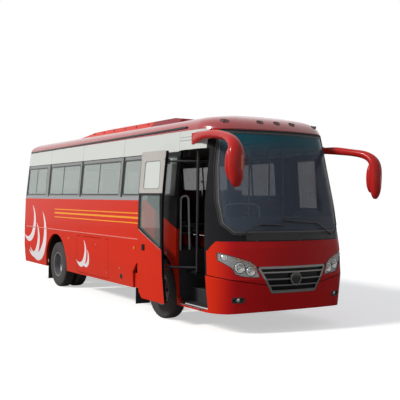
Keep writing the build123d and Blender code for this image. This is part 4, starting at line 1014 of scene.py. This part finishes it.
def make_dash():
    """Instrument hood with blank dials, and the vents of the dashboard."""
    build = Build()
    x0, y0, z0 = HOOD
    turns = [pi * k / 12 for k in range(13)]
    hood = [(x0 - cos(t) * HOOD_HALF, z0 + sin(t) * HOOD_RISE) for t in turns]
    rings = []
    for shift, share in HOOD_SECTIONS:
        rings.append([(x0 + (x - x0) * share, along(y0) + shift, z0 + (z - z0) * share) for x, z in hood])
    build.rings(rings)
    for x, radius in DIALS:
        profile = [(0.0, radius), (0.006, radius * 0.98), (0.006, radius * 0.88), (0.003, radius * 0.86),
                   (0.003, 0.0005)]
        build.lathe(profile, (x, along(y0) + 0.161, 1.745), (0, 1, 0.1), 24, 1)
    for x in VENT_XS:
        build.box((x - 0.07, along(-1.53), 1.655), (x + 0.07, along(-1.47), 1.668), 1, taper=0.004)
        for k in range(5):
            shift = 0.011 * k
            build.box((x - 0.062, along(-1.525) + shift, 1.667), (x + 0.062, along(-1.520) + shift, 1.673))
    build.make("dash_details", "body", "floor", "inside_dark", "gloss_black")


# Half of the tyre's section: place across and radius; then the two points of its bore
TYRE_PROFILE = [
    (-0.102, 0.2545), (-0.106, 0.275), (-0.108, 0.292), (-0.1105, 0.300), (-0.1145, 0.325), (-0.1185, 0.352),
    (-0.1195, 0.358), (-0.1195, 0.372), (-0.1175, 0.400), (-0.1150, 0.425), (-0.110, 0.455), (-0.104, 0.470),
    (-0.092, 0.4790), (-0.078, 0.4840), (-0.060, 0.4860), (-0.057, 0.4740), (-0.051, 0.4740),
    (-0.048, 0.4865), (-0.022, 0.4870), (-0.019, 0.4745), (-0.013, 0.4745), (-0.010, 0.4870),
]
TYRE_BORE = [(0.103, 0.262), (-0.103, 0.262)]
TYRE_STEPS = 120
NOTCH_DEPTH = 0.009
# Tyres: piece, body, replaced node, the x of each tyre on the wheel, y
TYRE_SETS = [
    ("front_tyre_tread", "front_wheel", "front_tyre", [TRACK_X], 0.0),
    ("rear_tyre_treads", "rear_wheels", "rear_tyres", [TRACK_X, TRACK_X - TWIN_PITCH], WHEELBASE),
]


def add_tyre(build, x, y):
    """A tyre with ribs and shoulder blocks, turned about its axle."""
    section = TYRE_PROFILE + [(-u, r) for u, r in reversed(TYRE_PROFILE)] + TYRE_BORE
    rings = []
    for step in range(TYRE_STEPS):
        turn = 2 * pi * step / TYRE_STEPS
        ring = []
        for u, r in section:
            if step % 3 == 0 and 0.060 < abs(u) < 0.11 and r > 0.45:
                r -= NOTCH_DEPTH
            ring.append(spot(x + u, y + r * cos(turn), TYRE_R + r * sin(turn)))
        rings.append(ring)
    build.rings(rings, closed=True)


def make_tyres():
    """The treaded tyres in place of the plain ones."""
    for name, side in SIDES:
        for piece, body, node, xs, y in TYRE_SETS:
            build = Build()
            for x in xs:
                add_tyre(build, side * x, y)
            tyre = build.make(f"{piece}_{name}", f"{body}_{name}", "tyre", "tyre")
            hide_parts(f"{node}_{name}")


HUB_CAP = [(0.0, 0.078), (0.006, 0.077), (0.010, 0.060), (0.022, 0.054), (0.028, 0.040), (0.030, 0.0005)]
RIM_LIP = [(0.100, 0.2555), (0.1105, 0.2650), (0.1125, 0.2640), (0.1105, 0.2500)]
NUT_COUNT = 10
NUT_CIRCLE = 0.118
DISC_OUT = TRACK_X + TWIN_PITCH / 2
DISC_IN = TRACK_X - TWIN_PITCH / 2
# Wheel details: piece, body, y, x of the nuts' seats, length of the studs, then x of the hub cap's seat
# and how far the cap stands off it
NUT_SETS = [
    ("front_wheel_nuts", "front_wheel", 0.0, DISC_OUT - 0.001, 0.030, DISC_OUT, 0.020),
    ("rear_wheel_nuts", "rear_wheels", WHEELBASE, DISC_IN + 0.013, 0.034, DISC_IN + 0.110, 0.0),
]


def add_nuts(build, side, x, y, length):
    """A ring of wheel nuts on studs."""
    profile = [(0.0, 0.019), (0.004, 0.019), (0.005, 0.0165), (length * 0.6, 0.0165),
               (length * 0.68, 0.012), (length * 0.7, 0.0085), (length, 0.008), (length, 0.0005)]
    for k in range(NUT_COUNT):
        turn = 2 * pi * k / NUT_COUNT
        centre = (side * x, along(y) + NUT_CIRCLE * cos(turn), TYRE_R + NUT_CIRCLE * sin(turn))
        build.lathe(profile, centre, (side, 0, 0), 6, 1)


def make_wheel_details():
    """Nuts, hub cap and rim bead of every wheel."""
    for name, side in SIDES:
        for piece, body, y, seat, length, hub, gap in NUT_SETS:
            build = Build()
            add_nuts(build, side, seat, y, length)
            cap = [(gap + reach, radius) for reach, radius in HUB_CAP]
            build.lathe(cap, spot(side * hub, y, TYRE_R), (side, 0, 0))
            build.lathe(RIM_LIP, spot(side * TRACK_X, y, TYRE_R), (side, 0, 0), 48, ring=True)
            build.make(f"{piece}_{name}", f"{body}_{name}", "steel", "rim", "bolt")


# Seats: x of each column, the rows, heights and half width; then the driver's seat
SEAT_XS = (-0.93, -0.48, 0.48, 0.93)
SEAT_ROWS = 8
FIRST_ROW = 0.93
ROW_PITCH = 0.745
SEAT_SIZE = (1.38, 2.15, 0.215)
DRIVER_SEAT = (0.64, -0.83 + 0.245, 1.28, 1.98, 0.235)
# Faces of a pad across and along it
PAD_COLUMNS = 10
PAD_ROWS = 12


def pad_point(u, v, face, size, crown, channels):
    """A pad's point from its place (-1 to 1) across and along it: shifts across, along and out."""
    width, length, thick = size
    swell = (1 - abs(u) ** 4) * (1 - abs(v) ** 4)
    pull_u = 1 - 0.02 * (1 - abs(v)) * abs(u) ** 3
    pull_v = 1 - 0.02 * (1 - abs(u)) * abs(v) ** 3
    if face:
        height = thick * 0.4 + thick * 0.10 * swell + crown * swell
        if channels:
            height -= 0.006 * max(0.0, cos(channels * pi * (u + 1))) ** 6 * swell
    else:
        height = -thick * 0.5 * (0.8 + 0.2 * swell)
    return u * width / 2 * pull_u, v * length / 2 * pull_v, height


def pad(build, origin, axes, size, crown, channels=0, mark=0):
    """A stuffed pad: a rounded form whose faces swell, with sewn channels down its front."""
    across, deep, up = axes
    verts = []
    for face in (0, 1):
        for i in range(PAD_COLUMNS + 1):
            for j in range(PAD_ROWS + 1):
                u = 2 * i / PAD_COLUMNS - 1
                v = 2 * j / PAD_ROWS - 1
                x, y, z = pad_point(u, v, face, size, crown, channels)
                verts.append(origin + across * x + deep * y + up * z)

    def at(face, i, j):
        return (face * (PAD_COLUMNS + 1) + i) * (PAD_ROWS + 1) + j

    faces = []
    for i in range(PAD_COLUMNS):
        for j in range(PAD_ROWS):
            faces.append((at(1, i, j), at(1, i + 1, j), at(1, i + 1, j + 1), at(1, i, j + 1)))
            faces.append((at(0, i, j + 1), at(0, i + 1, j + 1), at(0, i + 1, j), at(0, i, j)))
    rim = [(i, 0) for i in range(PAD_COLUMNS)] + [(PAD_COLUMNS, j) for j in range(PAD_ROWS)]
    rim += [(i, PAD_ROWS) for i in range(PAD_COLUMNS, 0, -1)] + [(0, j) for j in range(PAD_ROWS, 0, -1)]
    for a, b in zip(rim, rim[1:] + rim[:1]):
        faces.append((at(0, *a), at(0, *b), at(1, *b), at(1, *a)))
    build.add(verts, faces, mark)


def make_seats():
    """Stuffed cushions and backs with sewn channels, and head bolsters."""
    cushions = Build()
    backs = Build()
    across = Vector((1, 0, 0))
    rows = [FIRST_ROW + row * ROW_PITCH for row in range(SEAT_ROWS)]
    for x, y, base, top, half in [(x, y, *SEAT_SIZE) for y in rows for x in SEAT_XS] + [DRIVER_SEAT]:
        seat = Vector((x, along(y) - 0.2175, base + 0.052))
        pad(cushions, seat, (across, -AHEAD, UP), (half * 2, 0.42, 0.10), 0.008, 3)
        lean = Vector((0, 0.125, top - base)).normalized()
        out = Vector((0, -lean.z, lean.y))
        axes = (across, lean, out)
        middle = Vector((x, along(y) + 0.108, (base + top) / 2))
        pad(backs, middle, axes, (half * 2, (top - base) * 0.985, 0.072), 0.006, 3)
        head = middle + lean * ((top - base) * 0.36) + out * 0.036
        pad(backs, head, axes, (half * 1.7, (top - base) * 0.20, 0.020), 0.003, mark=1)
    seat = cushions.make("seat_cushion_pads", "body", "seat", "seat_black", subdivide=1)
    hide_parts("seat_cushions")
    back = backs.make("seat_back_pads", "body", "seat", "seat_black", "seat_red", subdivide=1)
    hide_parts("seat_backs")


# A belt over a first seat: x and y from the seat, z; and a grip on a seat back in the same way
BELT = [(0.17, 0.148, 2.13), (0.13, 0.033, 1.95), (0.05, -0.012, 1.66), (0.0, -0.032, 1.52)]
GRIP = [(-0.16, 0.19, 2.135), (-0.14, 0.21, 2.10), (0.14, 0.21, 2.10), (0.16, 0.19, 2.135)]


def make_belts():
    """Pale seat belts over the first seats, and grips on the seat backs."""
    build = Build()
    for seat_x in SEAT_XS[:2]:
        for _, side in SIDES:
            belt = [spot(seat_x + side * x, FIRST_ROW + y, z) for x, y, z in BELT]
            build.tube(belt, 0.014, 4, flat=0.25)
    for row in range(SEAT_ROWS):
        for seat_x in SEAT_XS:
            grip = [spot(seat_x + x, FIRST_ROW + row * ROW_PITCH + y, z) for x, y, z in GRIP]
            build.tube(grip, 0.010, 6, 1)
    build.make("seat_belts_and_grips", "body", "interior", "belt", "black")


# Fans of the cooling unit, and its fasteners: first y, pitch and height
FAN_YS = (1.95, 2.55, 3.15, 3.72)
FAN_X = 0.33
FAN_RIM = [(0.0, 0.205), (0.007, 0.200), (0.008, 0.186), (0.002, 0.182), (0.002, 0.0005)]
FAN_WIRES = (0.15, 0.115, 0.08, 0.045)
FAN_SPOKES = 6
FASTENER = [(0.0, 0.022), (0.008, 0.020), (0.010, 0.012), (0.010, 0.0005)]
FASTENER_ROW = (1.45, 0.5, 3.315)


def make_cooler_details():
    """Fan rings with their wires, and the fasteners of the roof cooling unit."""
    roof = skin_tree("roof_cooling_unit")
    build = Build()
    for y in FAN_YS:
        for x in (-FAN_X, FAN_X):
            place, normal = on_skin(roof, spot(x, y, 5.0), -UP, -0.001)
            build.lathe(FAN_RIM, place, normal, 40)
            for radius in FAN_WIRES:
                wire = [(0.002, radius + 0.004), (0.006, radius + 0.003), (0.006, radius - 0.003),
                        (0.002, radius - 0.004)]
                build.lathe(wire, place, normal, 32, 1, ring=True)
            middle = place + normal * 0.006
            for k in range(FAN_SPOKES):
                turn = pi * k / FAN_SPOKES
                arm = Vector((cos(turn), sin(turn), 0)) * 0.185
                build.tube([middle - arm, middle + arm], 0.0025, 4, 1)
    first, pitch, z = FASTENER_ROW
    for _, side in SIDES:
        for k in range(6):
            place, normal = on_skin(roof, spot(side * 2.0, first + pitch * k, z), (-side, 0, 0))
            build.lathe(FASTENER, place, normal, 12)
    build.make("cooler_details", "body", "black_trim", "black", "trim_grey")


# Amber strips down the front of the mirrors: x, lowest and highest point
REPEATERS = [(-1.318, 2.36, 2.56), (1.538, 2.20, 2.36)]
REPEATER_STEPS = 6


def make_mirror_details():
    """The amber repeaters of the mirrors."""
    mirror = skin_tree("mirrors")
    build = Build()
    for x, low, high in REPEATERS:
        strip = [(x, low + (high - low) * k / REPEATER_STEPS) for k in range(REPEATER_STEPS + 1)]
        build.tube(places(front_line(mirror, strip, -0.001)), 0.012, 8, flat=0.3)
    build.make("mirror_repeaters", "body", "amber", "amber")


# Tail lamps: x and heights; then the profiles of their rings and of the reflectors below
TAIL_X = 0.985
TAIL_ZS = (1.14, 1.30, 1.46)
TAIL_RING = [(0.0, 0.078), (0.0018, 0.077), (0.002, 0.066), (0.0005, 0.064), (0.0012, 0.04), (0.0022, 0.0005)]
REAR_REFLECTOR = [(0.0, 0.034), (0.002, 0.033), (0.0025, 0.02), (0.0025, 0.0005)]


def make_rear_details():
    """Rings on the tail lamps, the rear reflectors and the handle of the boot lid."""
    rear = skin_tree("rear_panel", "tail_lamps", "rear_bumper", "boot_lid")
    build = Build()
    for _, side in SIDES:
        for z in TAIL_ZS:
            build.lathe(TAIL_RING, *on_back(rear, side * TAIL_X, z))
        build.lathe(REAR_REFLECTOR, *on_back(rear, side, 0.56), 24, 1)
    build.make("tail_lamp_rings", "body", "tail_red", "tail_dark", "tail")
    lid = Build()
    y = on_back(rear, 0.0, 1.505)[0].y
    lid.box((-0.09, y - 0.004, 1.485), (0.09, y + 0.003, 1.515), taper=0.001)
    lid.make("boot_handle", "boot_lid", "black_trim", "gloss_black", bevel=0.001)


# Camera, solved from the photograph: place, turn and lens
CAMERA_PLACE = (-6.827, -10.504 + AXLE_Y, 1.975)
CAMERA_YAW = 0.5454
CAMERA_PITCH = -0.0027
CAMERA_ROLL = 0.0103
CAMERA_LENS = 65.47


def make_camera():
    """The photograph's viewpoint."""
    level = cos(CAMERA_PITCH)
    ahead = Vector((sin(CAMERA_YAW) * level, cos(CAMERA_YAW) * level, sin(CAMERA_PITCH)))
    right = Vector((cos(CAMERA_YAW), -sin(CAMERA_YAW), 0))
    up = right.cross(ahead)
    right_turned = right * cos(CAMERA_ROLL) + up * sin(CAMERA_ROLL)
    up_turned = up * cos(CAMERA_ROLL) - right * sin(CAMERA_ROLL)
    data = bpy.data.cameras.new("camera")
    data.lens = CAMERA_LENS
    data.sensor_width = 36
    data.clip_end = 200
    camera = bpy.data.objects.new("camera", data)
    bpy.context.collection.objects.link(camera)
    rows = Matrix((right_turned, up_turned, -ahead)).transposed()
    camera.matrix_world = Matrix.Translation(CAMERA_PLACE) @ rows.to_4x4()
    bpy.context.scene.camera = camera


# The floor as the camera sees it and as it lights the body, the sky's light, and the sun
FLOOR_HALF = 60
FLOOR_SEEN = (0.8, 0.8, 0.8)
FLOOR_LIGHTING = (0.30, 0.29, 0.28)
FLOOR_GLOW = 0.50
SKY_COLOR = (0.86, 0.9, 1.0)
SKY_LEVEL = 0.27
SUN_LEVEL = 3.1
SUN_COLOR = (1.0, 0.97, 0.92)
SUN_FROM = Vector((-0.9, 0.12, 0.62))


def make_floor():
    """A floor that is white to the camera but takes the shadow."""
    mesh = bpy.data.meshes.new("studio_floor")
    corners = [(x * FLOOR_HALF, y * FLOOR_HALF, 0) for x, y in ((-1, -1), (1, -1), (1, 1), (-1, 1))]
    mesh.from_pydata(corners, [], [(0, 1, 2, 3)])
    floor = bpy.data.objects.new("studio_floor", mesh)
    bpy.context.collection.objects.link(floor)
    sh = Shader("studio_floor", FLOOR_SEEN, 0.9)
    sh.vary(0.5, 0.03)
    seen = sh.node("ShaderNodeLightPath", "Is Camera Ray", {})
    sh.zone(FLOOR_LIGHTING, sh.flip(seen))
    sh.feed(sh.bsdf["Emission Color"], (1, 1, 1))
    sh.feed(sh.bsdf["Emission Strength"], sh.times(seen, FLOOR_GLOW))
    mesh.materials.append(sh.done())


def make_light():
    """A soft sky, white where it is seen or reflected, and one soft sun."""
    world = bpy.data.worlds.new("sky")
    bpy.context.scene.world = world
    world.use_nodes = True
    net = Nodes(world.node_tree)
    rays = net.node("ShaderNodeLightPath", 0, {}).node.outputs
    seen = net.either(rays["Is Camera Ray"], rays["Is Transmission Ray"], rays["Is Glossy Ray"])
    background = net.tree.nodes["Background"].inputs
    net.feed(background["Color"], net.mix(seen, SKY_COLOR, (1, 1, 1)))
    net.feed(background["Strength"], net.ramp(seen, 0.0, 1.0, SKY_LEVEL, 1.0))
    lamp = bpy.data.lights.new("sun", "SUN")
    lamp.energy = SUN_LEVEL
    lamp.angle = radians(12)
    lamp.color = SUN_COLOR
    sun = bpy.data.objects.new("sun", lamp)
    bpy.context.collection.objects.link(sun)
    sun.rotation_euler = SUN_FROM.to_track_quat("Z", "Y").to_euler()
    bpy.context.scene.view_settings.view_transform = "Standard"


make_camera()
make_floor()
make_light()
materials = make_materials()
dress_nodes()
for make_piece in (make_windscreen_trim, make_cowl, make_lamps, make_badge, make_wiper_blades,
                   make_side_fittings, make_door_trim, make_side_mouldings, make_steps, make_poles, make_dash,
                   make_tyres, make_wheel_details, make_seats, make_belts, make_cooler_details,
                   make_mirror_details, make_rear_details):
    make_piece()
